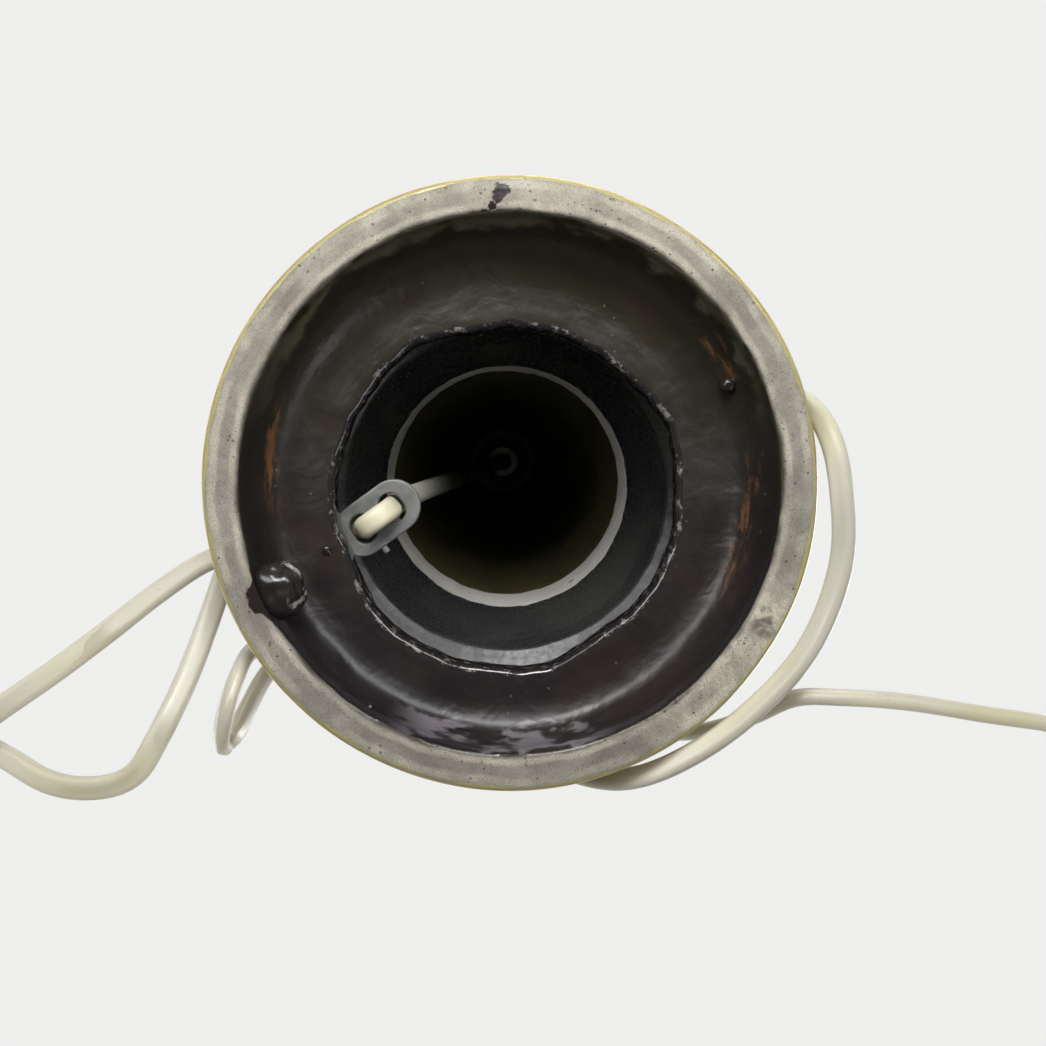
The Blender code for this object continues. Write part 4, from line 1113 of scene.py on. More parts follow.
def add_piece(
    name: str, bm: bmesh.types.BMesh, finishes: Finish | Sequence[Finish],
    replaces: Sequence[str] = (), body: Body = Body.LAMP, sharp: float = SHARP,
    place: Matrix | None = None,
) -> bpy.types.Object:
    """Make a piece of the lamp from a body.

    Args:
        name: The piece's name.
        bm: Its body, which is freed.
        finishes: Its finish, or several in the order of its faces' material numbers.
        replaces: The CAD nodes that it stands for.
        body: The moving group that it rides on.
        sharp: Edges over this angle in degrees stay sharp.
        place: Where it goes, if it was built about its own origin.

    Returns:
        The piece.
    """
    if place is not None:
        bmesh.ops.transform(bm, matrix=place, verts=bm.verts)
    mesh = bpy.data.meshes.new(name)
    bm.to_mesh(mesh)
    bm.free()
    mesh.shade_smooth()
    mesh.set_sharp_from_angle(angle=math.radians(sharp))
    for finish in [finishes] if isinstance(finishes, Finish) else finishes:
        mesh.materials.append(finish.material())
    piece = bpy.data.objects.new(name, mesh)
    bpy.context.scene.collection.objects.link(piece)
    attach(piece, body.value)
    if replaces:
        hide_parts(*replaces)
    LOG.info(
        "%s: %d faces, stands for %s", name, len(mesh.polygons), ", ".join(replaces) or "detail",
    )
    return piece


def cut_with(piece: bpy.types.Object, cutters: Sequence[bmesh.types.BMesh]) -> None:
    """Cut bodies out of a piece and keep the result as its mesh.

    Args:
        piece: The piece.
        cutters: Bodies in place, which are freed.
    """
    helpers = []
    for i, bm in enumerate(cutters):
        mesh = bpy.data.meshes.new(f"cutter_{i}")
        bmesh.ops.recalc_face_normals(bm, faces=bm.faces)
        bm.to_mesh(mesh)
        bm.free()
        helper = bpy.data.objects.new(f"cutter_{i}", mesh)
        bpy.context.scene.collection.objects.link(helper)
        modifier = piece.modifiers.new(f"cut_{i}", "BOOLEAN")
        modifier.operation, modifier.solver, modifier.object = "DIFFERENCE", "EXACT", helper
        helpers.append(helper)
    graph = bpy.context.evaluated_depsgraph_get()
    mesh = bpy.data.meshes.new_from_object(piece.evaluated_get(graph), depsgraph=graph)
    piece.modifiers.clear()
    old, piece.data = piece.data, mesh
    bpy.data.meshes.remove(old)
    for helper in helpers:
        bpy.data.meshes.remove(helper.data)
    mesh.set_sharp_from_angle(angle=math.radians(SHARP))


def round_rims(piece: bpy.types.Object, width: float) -> None:
    """Round a piece's sharp edges.

    Args:
        piece: The piece.
        width: Width of the rounding.
    """
    rims = piece.modifiers.new("rounded_rims", "BEVEL")
    rims.width, rims.segments, rims.limit_method = width, 3, "ANGLE"
    rims.angle_limit = math.radians(RIM_ANGLE)


def dress_node(name: str, finish: Finish) -> None:
    """Give a CAD node that stays its finish.

    Args:
        name: The node.
        finish: Its finish.
    """
    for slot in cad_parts[name].material_slots:
        slot.material = finish.material()
    LOG.info("%s: CAD node in %s", name, finish.name)


def pin(radius: float, length: float, sides: int = 48) -> bmesh.types.BMesh:
    """A plain round body about its own centre, along Z.

    Args:
        radius: Its radius.
        length: Its length.
        sides: Its facets.

    Returns:
        The body.
    """
    return lathe(
        [(0, -length / 2), (radius, -length / 2), (radius, length / 2), (0, length / 2)], sides, 0,
    )


# ---------------------------------------------------------------- the fired body


class Zone(Enum):
    """The parts of the body's surface, in the order of their finishes."""

    FOOT = 0
    OUTSIDE = 1
    RECESS = 2
    CHAMBER = 3
    BAND = 4
    NECK = 5
    LIP = 6


@dataclass
class StonewareBody:
    """The thrown and fired body, glazed in ochre outside and black inside."""

    sides: int = 216
    foot_radius: float = 0.068
    foot_round: float = 0.0015
    flange_side: float = 0.0095
    ledge_height: float = LEDGE_HEIGHT
    ledge_outer: float = 0.0622
    side_knots: Outline = field(default_factory=lambda: [
        (0.0556, LEDGE_HEIGHT), (0.0530, 0.029), (0.0625, 0.060), (0.0500, 0.100), (0.0360, 0.152),
        (0.0288, 0.212), (0.0262, 0.260),
    ])
    top_round: float = 0.0020
    height: float = 0.262
    foot_inner: float = 0.0595
    recess_knots: Outline = field(default_factory=lambda: [
        (0.0595, 0.0009), (0.0588, 0.0055), (0.0571, 0.0102), (0.0540, 0.0140), (0.0498, 0.0157),
        (0.0462, 0.0160),
    ])
    lip_radius: float = 0.0406
    lip_round: float = 0.0014
    floor_top: float = 0.0244
    chamber_knots: Outline = field(default_factory=lambda: [
        (0.0456, 0.0258), (0.0545, 0.0560), (0.0523, 0.0645), (0.0502, 0.0697),
    ])
    ridge_knots: Outline = field(
        default_factory=lambda: [(0.0452, 0.0719), (0.0431, 0.0810), (0.0366, 0.0960)]
    )
    band_top: tuple[float, float] = (0.0355, 0.113)
    neck_knots: Outline = field(default_factory=lambda: [
        (0.0366, 0.1141), (0.0300, 0.145), (0.0225, 0.215), (0.0135, 0.2510),
    ])
    tube_hole: float = 0.0055
    exit_hole: float = 0.0045
    gob_bearing: float = math.radians(79.7)
    gob_place: tuple[float, float] = (0.0568, 0.0047)
    gob_size: Sequence[float] = (0.0056, 0.0062, 0.0040)
    beads: Sequence[Sequence[float]] = (
        (-0.0086, -0.0540, 0.0112, 0.0019), (0.0409, 0.0433, 0.0050, 0.0011),
        (-0.0512, -0.0113, 0.0152, 0.0009), (0.0050, 0.0455, 0.0168, 0.0015),
        (0.0030, 0.0448, 0.0184, 0.0012),
    )
    notch_depth: float = 0.0036
    notch_height: float = 0.0062
    notch_half: float = 0.085
    ring_depth: float = 0.00016
    ring_pitch: float = 0.0061
    inner_ring_depth: float = 0.00008
    inner_ring_pitch: float = 0.0052
    exit_height: float = 0.0305
    drift: Sequence[tuple[float, float, float]] = (
        (0.004, 0, 0), (0.016, 0.0035, 0.0017), (0.096, 0.0046, 0.0011), (0.235, 0, 0),
    )

    def outside(self) -> Outline:
        """The outer outline, from the top hole down to the foot's inner edge.

        Returns:
            The outline.
        """
        r, edge = self.foot_radius, self.foot_round
        top_radius, shoulder = self.side_knots[-1]
        top = [(self.tube_hole, self.height), (0.0150, self.height)] + [
            (
                top_radius - self.top_round * (1 - math.sin(a)),
                shoulder + self.top_round * math.cos(a),
            )
            for a in quarter(5)
        ]
        side = curve_outline(self.side_knots, 0.0020)[::-1][1:]
        rise = self.ledge_height - self.flange_side
        flange = [
            (
                self.ledge_outer + (r - self.ledge_outer) * math.sin(a),
                self.flange_side + rise * math.cos(a),
            )
            for a in quarter(9)
        ]
        foot = [(r - edge + edge * math.cos(a), edge - edge * math.sin(a)) for a in quarter(5)]
        return [*top, *side, *flange, *foot]

    def inside(self) -> Outline:
        """The inner outline, from the foot's inner edge up to the tube's hole.

        Returns:
            The outline.
        """
        lip, edge = self.lip_radius, self.lip_round
        worn = [(self.foot_inner + 0.0009, 0), (self.foot_inner + 0.0003, 0.0003)]
        recess = [*worn, *curve_outline(self.recess_knots, 0.0010)]
        foot = self.recess_knots[-1][1]
        under = [
            (lip + edge - edge * math.sin(a), foot + edge - edge * math.cos(a)) for a in quarter(4)
        ]
        over = [
            (lip + edge - edge * math.cos(a), self.floor_top - edge + edge * math.sin(a))
            for a in quarter(4)
        ]
        chamber = [
            *curve_outline(self.chamber_knots, 0.0016), *curve_outline(self.ridge_knots, 0.0016),
        ]
        chamber = soften(chamber, 0.0009, 3, closed=False)
        neck = curve_outline(self.neck_knots, 0.0026)
        return [
            *recess, *under, *over, *chamber, self.band_top, *neck,
            (self.tube_hole, self.neck_knots[-1][1]),
        ]

    def centre_at(self, height: float) -> tuple[float, float]:
        """How far the inside's centre lies from the axis.

        Args:
            height: Height above the floor.

        Returns:
            The shift along X and Y.
        """
        if height <= self.drift[0][0] or height >= self.drift[-1][0]:
            return 0.0, 0.0
        for (z0, x0, y0), (z1, x1, y1) in zip(self.drift, self.drift[1:]):
            if height <= z1:
                t = (height - z0) / (z1 - z0)
                return x0 + (x1 - x0) * t, y0 + (y1 - y0) * t
        return 0.0, 0.0

    def zone_of(self, face: bmesh.types.BMFace) -> Zone:
        """Which part of the surface a face belongs to, before the inside is shifted.

        Args:
            face: The face.

        Returns:
            Its zone.
        """
        middle, normal = face.calc_center_median(), face.normal
        radius = math.hypot(middle.x, middle.y)
        inward = (normal.x * middle.x + normal.y * middle.y) / radius < -0.05
        z = middle.z
        if z < 0.0004 and normal.z < -0.5:
            return Zone.FOOT
        inside = inward or (normal.z < -0.5 and z > 0.010 and radius < 0.060) or (
            normal.z > 0.5 and z < 0.030 and radius < 0.0500
        )
        if not inside:
            return Zone.OUTSIDE
        if z < self.floor_top + 0.0006:
            return Zone.LIP if radius < self.lip_radius + self.lip_round * 0.98 else Zone.RECESS
        if z < self.ridge_knots[-1][1] - 0.0001:
            return Zone.CHAMBER
        return Zone.BAND if z < self.neck_knots[0][1] + 0.0001 else Zone.NECK

    def lip_change(self, bearing: float) -> float:
        """How far the hand-cut opening's edge stands out.

        Args:
            bearing: Bearing in radians.

        Returns:
            The change of radius.
        """
        wave = 0.0005 * (math.sin(3 * bearing) + math.sin(7 * bearing + 1))
        facet = math.tau / 11
        flat = self.lip_radius * (math.cos(facet / 2) / math.cos((bearing % facet) - facet / 2) - 1)
        rough = 0.00035 * noise.noise(Vector((math.cos(bearing) * 9, math.sin(bearing) * 9, 2.0)))
        return wave + 0.35 * flat + rough

    def shape_by_hand(self, bm: bmesh.types.BMesh) -> None:
        """Give the turned body its rings, its uneven edges and its off-centre inside.

        Args:
            bm: The body.
        """
        inner = {
            v for f in bm.faces if self.zone_of(f) not in (Zone.OUTSIDE, Zone.FOOT) for v in f.verts
        }
        for vertex in bm.verts:
            x, y, z = vertex.co
            radius, bearing = math.hypot(x, y), math.atan2(y, x)
            around = Vector((math.cos(bearing), math.sin(bearing), 0))
            wobble = noise.noise(around * 2.2 + Vector((0, 0, z * 22)))
            if vertex in inner:
                change = 0.00018 * wobble + 0.00022 * noise.noise(
                    around * 14 + Vector((4, 1, z * 120))
                )
                if z < self.notch_height:
                    notch = math.exp(-(((bearing - self.gob_bearing) / self.notch_half) ** 2))
                    change += self.notch_depth * notch * (1 - z / self.notch_height)
                if 0.0155 < z < 0.0250 and radius < self.lip_radius + 3 * self.lip_round:
                    change += self.lip_change(bearing)
                if self.floor_top + 0.003 < z < 0.094:
                    turn = math.tau * z / self.inner_ring_pitch + 0.8 * math.sin(bearing)
                    change += self.inner_ring_depth * math.sin(turn)
            else:
                change = 0.00022 * wobble
                if z > self.ledge_height + 0.004:
                    rise, fall = z - self.ledge_height - 0.004, self.height - 0.004 - z
                    fade = max(min(1.0, rise / 0.01, fall / 0.01), 0.0)
                    wander = 1.4 * noise.noise(around + Vector((0, 0, z * 40)))
                    rings = math.sin(math.tau * z / self.ring_pitch + wander)
                    change += self.ring_depth * fade * rings
                if z < WELD:
                    change *= 0.3
            share = 1 + change / radius if radius > 0.012 else 1.0
            vertex.co.x, vertex.co.y = x * share, y * share
            if vertex in inner:
                shift = self.centre_at(z)
                vertex.co.x += shift[0]
                vertex.co.y += shift[1]

    def build(self) -> bpy.types.Object:
        """Turn, shape, cut and dress the body.

        Returns:
            The body.
        """
        outline = split_long([*self.outside(), *self.inside()], 0.0022)
        bm = lathe(outline, self.sides, 0)
        for face in bm.faces:
            face.material_index = self.zone_of(face).value
        self.shape_by_hand(bm)
        finishes = [
            FOOT_CLAY, OCHRE_GLAZE, RECESS_GLAZE, CHAMBER_GLAZE, BAND_CLAY, NECK_GLAZE, LIP_GLAZE,
        ]
        body = add_piece("stoneware_body", bm, finishes, ["ceramic_body"], sharp=60)
        hole = pin(self.exit_hole, 0.030, 40)
        turn = Matrix.Translation(
            (0, 0.0500, self.exit_height)
        ) @ Matrix.Rotation(math.pi / 2, 4, "X")
        bmesh.ops.transform(hole, matrix=turn, verts=hole.verts)
        cut_with(body, [hole])
        self.gob()
        return body

    def gob(self) -> None:
        """A lump of pooled glaze in the foot ring's inner edge."""
        bm = bmesh.new()
        bmesh.ops.create_icosphere(bm, subdivisions=5, radius=1)
        for vertex in bm.verts:
            bumps = noise.noise(vertex.co * 1.1) * 0.26 + noise.noise(vertex.co * 2.3) * 0.08
            vertex.co = Vector([c * (1 + bumps) * s for c, s in zip(vertex.co, self.gob_size)])
        radius, height = self.gob_place
        place = Matrix.Rotation(self.gob_bearing, 4, "Z") @ Matrix.Translation((radius, 0, height))
        bmesh.ops.transform(bm, matrix=place, verts=bm.verts)
        for vertex in bm.verts:
            vertex.co.z = max(vertex.co.z, 0.0004)
        add_piece("glaze_gob", bm, GOB_GLAZE, sharp=180)
        for i, (x, y, z, size) in enumerate(self.beads):
            bm = bmesh.new()
            bmesh.ops.create_icosphere(bm, subdivisions=3, radius=size)
            for vertex in bm.verts:
                vertex.co *= 1 + 0.3 * noise.noise(vertex.co / size + Vector((i, 0, 0)))
            place = Matrix.Translation((x, y, z))
            add_piece(f"glaze_bead_{i + 1}", bm, GOB_GLAZE, sharp=180, place=place)


# ---------------------------------------------------------------- the tube and what it clamps


@dataclass
class TubeStack:
    """The threaded tube, its end bush, and the nuts, cap and collar on it."""

    tube_radius: float = 0.0050
    tube_bore: float = 0.0040
    tube_foot: float = 0.2405
    tube_top: float = 0.2895
    thread_pitch: float = 0.0010
    thread_depth: float = 0.00028
    hole: float = TUBE_PASS
    nut_flats: float = 0.0140
    nut_bevel: float = 0.0007
    nut_chamfer: float = 0.0009
    lower_nut: tuple[float, float] = (0.2435, 0.0040)
    neck_nut: tuple[float, float] = (0.2687, 0.0032)
    bush_bore: float = 0.0035
    bush_radius: float = 0.0062
    bush_below: float = 0.0022
    bush_above: float = 0.0024
    cap_seat: float = 0.2638
    cap_edge: Outline = field(default_factory=lambda: [
        (0.0205, 0), (0.0205, 0.0014), (0.0186, 0.0021), (0.01525, 0.0035), (0.0125, 0.0043),
        (0.0100, 0.0046),
    ])
    collar_seat: float = 0.2722
    collar_edge: Outline = field(default_factory=lambda: [
        (0.0080, 0), (0.0080, 0.0016), (0.0074, 0.0022), (0.0074, 0.0058), (0.0080, 0.0064),
        (0.0080, 0.0080),
    ])

    def nut(
        self, name: str, seat: float, thickness: float, finish: Finish, slot: Slot, node: str
    ) -> None:
        """A chamfered hexagon nut.

        Args:
            name: The piece's name.
            seat: Height of its underside.
            thickness: Its thickness.
            finish: Its finish.
            slot: The record's finish; not used.
            node: The CAD node that it stands for.
        """
        corner, bevel = self.nut_flats / math.sqrt(3), self.nut_bevel
        flat_edge, top = corner - self.nut_chamfer, seat + thickness
        bm = lathe(
            [(self.hole, seat), (flat_edge, seat), (corner, seat + bevel), (corner, top - bevel),
             (flat_edge, top), (self.hole, top)],
            96, 0, 0.0006,
        )

        def six_sides(bearing: float, radius: float, height: float) -> float:
            """Bring a point in to the nearest of six flats."""
            flat = self.nut_flats / 2 / math.cos((bearing % (math.pi / 3)) - math.pi / 6)
            return min(0.0, flat - radius)

        reshape(bm, six_sides)
        add_piece(name, bm, finish, [node], sharp=25)

    def turned(self, seat: float, edge: Outline, sides: int) -> bmesh.types.BMesh:
        """A turned piece with the tube's hole through it.

        Args:
            seat: Height of its underside.
            edge: Its outer outline, with heights above the seat.
            sides: Its facets.

        Returns:
            The piece's body.
        """
        outer = [(radius, seat + height) for radius, height in edge]
        return lathe([(self.hole, seat), *outer, (self.hole, outer[-1][1])], sides, 0.0005)

    def build(self) -> None:
        """Build every piece on the tube."""
        bm = lathe(
            [(self.tube_bore, self.tube_foot), (self.tube_radius, self.tube_foot),
             (self.tube_radius, self.tube_top), (self.tube_bore, self.tube_top)],
            64, 0.0003, 0.00022,
        )
        reshape(bm, thread(
            self.tube_radius - 0.0005, self.tube_radius + 0.0002, self.tube_foot, self.tube_top,
            self.thread_pitch, self.thread_depth,
        ))
        add_piece("threaded_lamp_tube", bm, SHADED_ZINC, ["threaded_tube"])
        floor = self.tube_foot - GAP
        low, high = floor - self.bush_below, floor + self.bush_above
        bm = lathe(
            [(self.bush_bore, low), (self.bush_radius, low), (self.bush_radius, high),
             (self.hole, high), (self.hole, floor), (self.bush_bore, floor)],
            96, 0.0005,
        )
        add_piece("tube_bush", bm, PALE_MOULDING, ["tube_end_bush"])
        self.nut("lower_nut", *self.lower_nut, SHADED_ZINC, Slot.ZINC, "inner_nut")
        self.nut("neck_nut", *self.neck_nut, BRASS, Slot.BRASS, "top_nut")
        bm = self.turned(self.cap_seat, self.cap_edge, 128)
        add_piece("neck_cap", bm, BRASS, ["brass_cap"])
        bm = self.turned(self.collar_seat, self.collar_edge, 96)
        add_piece("neck_collar", bm, BRASS, ["spacer_collar"])
        dress_node("inner_washer", SHADED_ZINC)
        dress_node("inner_gasket", RUBBER)
        dress_node("top_gasket", RUBBER)


# ---------------------------------------------------------------- the lampholder


@dataclass
class Lampholder:
    """A black screw lampholder with its shade ring, block, shell and contact."""

    seat: float = 0.2805
    hub_radius: float = 0.0088
    hub_top: float = 0.2890
    shoulder: float = 0.2995
    rim: float = 0.3125
    radius: float = 0.0195
    wall: float = 0.0020
    hole: float = TUBE_PASS
    bar_height: float = BAR_HEIGHT
    skirt_foot: float = 0.3065
    flange_top: float = 0.3207
    skirt_top: float = 0.3447
    block_seat: float = 0.3128
    block_radii: tuple[float, float, float] = (0.0190, 0.0172, 0.0128)
    block_flange: float = 0.0030
    block_plug: float = 0.0026
    boss_top: float = 0.3192
    flange_radius: float = 0.0240
    flange_depth: float = 0.0026
    thread_radius: float = 0.0192
    thread_pitch: float = 0.0026
    thread_depth: float = 0.00075
    mouth_radius: float = 0.0152
    rib_count: int = 36
    rib_depth: float = 0.00035
    ring_seat: float = 0.3287
    ring_bore: float = 0.0197
    ring_radius: float = 0.0275
    ring_height: float = 0.0070
    grip_root: float = 0.0240
    grip_depth: float = 0.0009
    shell_outside: float = 0.0138
    shell_inside: float = 0.0129
    shell_hole: float = 0.0085
    shell_turns: int = 5
    shell_wave: float = 0.00045
    contact_root: float = 0.0065
    contact_half: float = 0.0003
    contact_width: float = 0.0045

    def cap(self) -> None:
        """The lower shell on the tube, with holes for the switch bar and the lock screw."""
        reach = self.radius - self.hub_radius
        dome = [
            (self.hub_radius + reach * (1 - math.cos(a)), self.hub_top + 0.0105 * math.sin(a))
            for a in quarter(14)
        ]
        inner = self.radius - self.wall
        hollow = curve_outline(
            [
                (inner, self.shoulder + 0.002), (0.0140, 0.2960), (0.0096, 0.2923),
                (self.hole, 0.2910),
            ], 0.0012
        )
        bm = lathe(
            [(self.hole, self.seat), (self.hub_radius - 0.0004, self.seat),
             (self.hub_radius, self.seat + 0.0006),
             (self.hub_radius, self.seat + 0.0018), (self.hub_radius - 0.0004, self.seat + 0.0022),
             (self.hub_radius - 0.0004, self.seat + 0.0064), (self.hub_radius, self.seat + 0.0068),
             *dome,
             (self.radius, self.rim), (inner, self.rim), *hollow],
            128, 0.0003,
        )
        piece = add_piece("holder_lower_shell", bm, BLACK_MOULDING, ["holder_cap"])
        bar = pin(0.0025, 0.060, 40)
        bmesh.ops.transform(
            bar, matrix=turn_matrix((0, 0, self.bar_height), 0, math.pi / 2), verts=bar.verts,
        )
        lock = pin(0.0018, 0.012, 32)
        tilt = Matrix.Translation(
            (0, -0.0110, self.seat + 0.0042)
        ) @ Matrix.Rotation(math.pi / 2, 4, "X")
        bmesh.ops.transform(lock, matrix=tilt, verts=lock.verts)
        cut_with(piece, [bar, lock])
        dress_node("cap_lock_screw", ZINC)

    def skirt(self) -> None:
        """The upper shell, with finger ribs, a shoulder and the shade ring's thread."""
        socket = self.radius + GAP
        outer = socket + self.wall
        roof = self.block_seat + self.block_flange + GAP
        flange, top = self.flange_top - self.flange_depth, self.skirt_top
        wide, narrow, mouth = self.flange_radius, self.thread_radius, self.mouth_radius
        bm = lathe(
            [(socket, self.skirt_foot), (outer, self.skirt_foot), (outer, flange - self.wall),
             (wide, flange), (wide, self.flange_top), (narrow, self.flange_top),
             (narrow, top - 0.0010), (narrow - 0.0010, top), (mouth, top), (mouth, roof),
             (socket, roof)],
            144, 0.0004, 0.0005,
        )
        reshape(bm, thread(
            narrow - 0.0006, narrow + 0.0003, self.flange_top + 0.0012, top - 0.0012,
            self.thread_pitch, self.thread_depth,
        ))

        def ribs(bearing: float, radius: float, height: float) -> float:
            """Sink a point between the finger ribs.

            Args:
                bearing: The point's bearing.
                radius: Its radius.
                height: Its height.

            Returns:
                The change of radius.
            """
            ribbed = self.skirt_foot + 0.0012 <= height <= flange - self.wall - 0.0005
            if radius < outer - 0.0002 or not ribbed:
                return 0.0
            return -self.rib_depth * (0.5 - 0.5 * math.cos(self.rib_count * bearing))

        reshape(bm, ribs)
        add_piece("holder_upper_shell", bm, BLACK_MOULDING, ["holder_skirt"], sharp=45)

    def shade_ring(self) -> None:
        """The ring that holds a shade down, with scalloped grips."""
        foot, bore, outer = self.ring_seat, self.ring_bore, self.ring_radius
        top = foot + self.ring_height
        bm = lathe(
            [(bore, foot), (outer - 0.0012, foot), (outer, foot + 0.0014), (outer, top - 0.0014),
             (outer - 0.0012, top), (0.0222, top), (0.0214, top - 0.0008), (bore, top - 0.0008)],
            180, 0.0005, 0.0008,
        )

        def grips(bearing: float, radius: float, height: float) -> float:
            """Sink a point between the scallops of the ring's edge."""
            share = max(0.0, (radius - self.grip_root) / (outer - self.grip_root))
            return -self.grip_depth * share * abs(math.sin(9 * bearing)) ** 1.5

        reshape(bm, grips)
        add_piece(
            "shade_clamp_ring", bm, BLACK_MOULDING, ["shade_ring"], Body.SHADE_RING, 50,
        )

    def works(self) -> None:
        """The porcelain block, the threaded shell and the sprung contact."""
        flange, plug, boss = self.block_radii
        seat = self.block_seat
        low, high = seat - self.block_plug, seat + self.block_flange
        bm = lathe(
            [(0, low), (plug, low), (plug, seat), (flange, seat), (flange, high), (boss, high),
             (boss, self.boss_top), (0, self.boss_top)],
            96, 0.0004,
        )
        block = add_piece("porcelain_block", bm, PORCELAIN, ["contact_block"])
        cutters = []
        for side in (1, -1):
            hole = pin(0.0016, 0.0096, 24)
            bmesh.ops.translate(hole, vec=(0, side * 0.0098, low), verts=hole.verts)
            cutters.append(hole)
        cut_with(block, cutters)
        foot = self.boss_top + GAP
        outside, inside = [], []
        for i in range(self.shell_turns * 12 + 1):
            wave = self.shell_wave * math.cos(math.tau * i / 12)
            height = foot + 0.0009 + i * 0.0003
            outside.append((self.shell_outside + wave, height))
            inside.append((self.shell_inside + wave, height))
        bm = lathe(
            [(self.shell_hole, foot), (self.shell_outside, foot), *outside, *reversed(inside),
             (self.shell_hole, foot + 0.0009)],
            96, 0.0001,
        )
        add_piece("threaded_bulb_shell", bm, AGED_BRASS, ["screw_shell"], sharp=50)
        root, half = self.contact_root, self.contact_half
        line = [
            (0, 0), (root * 0.20, 0), (root * 0.40, 0.0014), (root * 0.62, 0.0030),
            (root + 0.0012, 0.0030), (root + 0.0022, 0.0030),
        ]
        bm = bmesh.new()
        under = [bm.verts.new((x, -self.contact_width / 2, z - half)) for x, z in line]
        over = [bm.verts.new((x, -self.contact_width / 2, z + half)) for x, z in reversed(line)]
        extrude(bm, [bm.faces.new(under + over)], (0, self.contact_width, 0))
        bmesh.ops.recalc_face_normals(bm, faces=bm.faces)
        bmesh.ops.bevel(
            bm, geom=bm.edges[:], offset=0.00012, segments=2, profile=0.5, affect="EDGES",
            material=-1,
        )
        add_piece(
            "sprung_contact", bm, AGED_BRASS, ["centre_contact"], Body.CENTRE_CONTACT,
            place=Matrix.Translation((-root, 0, foot + half)),
        )
        for name in ("terminal_screw_line", "terminal_screw_neutral"):
            dress_node(name, AGED_BRASS)

    def build(self) -> None:
        """Build the whole lampholder."""
        self.cap()
        self.skirt()
        self.shade_ring()
        self.works()


@dataclass
class PushSwitch:
    """The bar that is pushed through the lampholder, with its two end caps."""

    height: float = BAR_HEIGHT
    rest: float = -0.0030
    reach: float = 0.0265
    radius: float = 0.0020
    cap_radius: float = 0.0036
    cap_length: float = 0.0060
    socket: float = 0.0035

    def build(self) -> None:
        """Build the bar and its caps, and dress the slider."""
        along = turn_matrix((self.rest, 0, self.height), 0, math.pi / 2)
        bm = lathe(
            [
                (0, -self.reach), (self.radius, -self.reach), (self.radius, self.reach),
                (0, self.reach),
            ], 48, 0.0003,
        )
        add_piece("push_bar", bm, AGED_BRASS, ["switch_bar"], Body.SWITCH, place=along)
        mouth = self.reach - self.socket
        end, bore, r = mouth + self.cap_length, self.radius + GAP, self.cap_radius
        for side, label in ((-1, "left"), (1, "right")):
            bm = lathe(
                [(0, self.reach + GAP), (bore, self.reach + GAP), (bore, mouth),
                 (r - 0.0004, mouth), (r, mouth + 0.0006),
                 (r, end - 0.0014), (r - 0.0010, end - 0.0004), (r - 0.0020, end), (0, end)],
                64, 0.0004,
            )
            add_piece(
                f"push_cap_{label}", bm, BLACK_MOULDING, [f"switch_cap_{label}"],
                Body.SWITCH,
                place=turn_matrix((self.rest, 0, self.height), 0, side * math.pi / 2),
            )
        dress_node("switch_slider", PALE_MOULDING)


# ---------------------------------------------------------------- flex, buckle and plug


@dataclass
class Flex:
    """Flat two-core flex, laid along a line with its flat side turned as it lies."""

    width: float = 0.0054
    thickness: float = 0.0034
    corners: int = 9

    def half_height(self, roll: float) -> float:
        """Half the flex's height with its flat side rolled by some degrees off the floor."""
        flat = (self.width - self.thickness) / 2
        return self.thickness / 2 + flat * abs(math.sin(math.radians(roll)))

    def section(self) -> list[tuple[float, float]]:
        """Points round the flat oval section, across and up.

        Returns:
            The points, in order round the section.
        """
        radius, flat = self.thickness / 2, (self.width - self.thickness) / 2
        points = []
        for end in (1, -1):
            for i in range(self.corners):
                angle = -math.pi / 2 + math.pi * i / (self.corners - 1)
                points.append(
                    (end * (flat + radius * math.cos(angle)), end * radius * math.sin(angle))
                )
        return points

    def sweep(self, rows: Sequence[Vector]) -> bmesh.types.BMesh:
        """Sweep the section along rows of x, y, z and roll in degrees.

        Args:
            rows: The line, close together.

        Returns:
            The closed body.
        """
        bm = bmesh.new()
        section = self.section()
        rings: list[list[bmesh.types.BMVert]] = []
        last = None
        for i, row in enumerate(rows):
            ahead = (rows[min(i + 1, len(rows) - 1)].xyz - rows[max(i - 1, 0)].xyz).normalized()
            side = Vector((0, 0, 1)).cross(ahead)
            if last is not None and side.length < 0.12:
                side = last - ahead * last.dot(ahead)
            if last is not None and side.dot(last) < 0:
                side.negate()
            side.normalize()
            last = side
            turned = Matrix.Rotation(math.radians(row[3]), 3, ahead) @ side
            up = ahead.cross(turned)
            rings.append([bm.verts.new(row.xyz + turned * a + up * b) for a, b in section])
        for before, after in zip(rings, rings[1:]):
            for j in range(len(section)):
                k = (j + 1) % len(section)
                bm.faces.new((before[j], before[k], after[k], after[j]))
        bm.faces.new(rings[0])
        bm.faces.new(rings[-1])
        bmesh.ops.recalc_face_normals(bm, faces=bm.faces)
        return bm


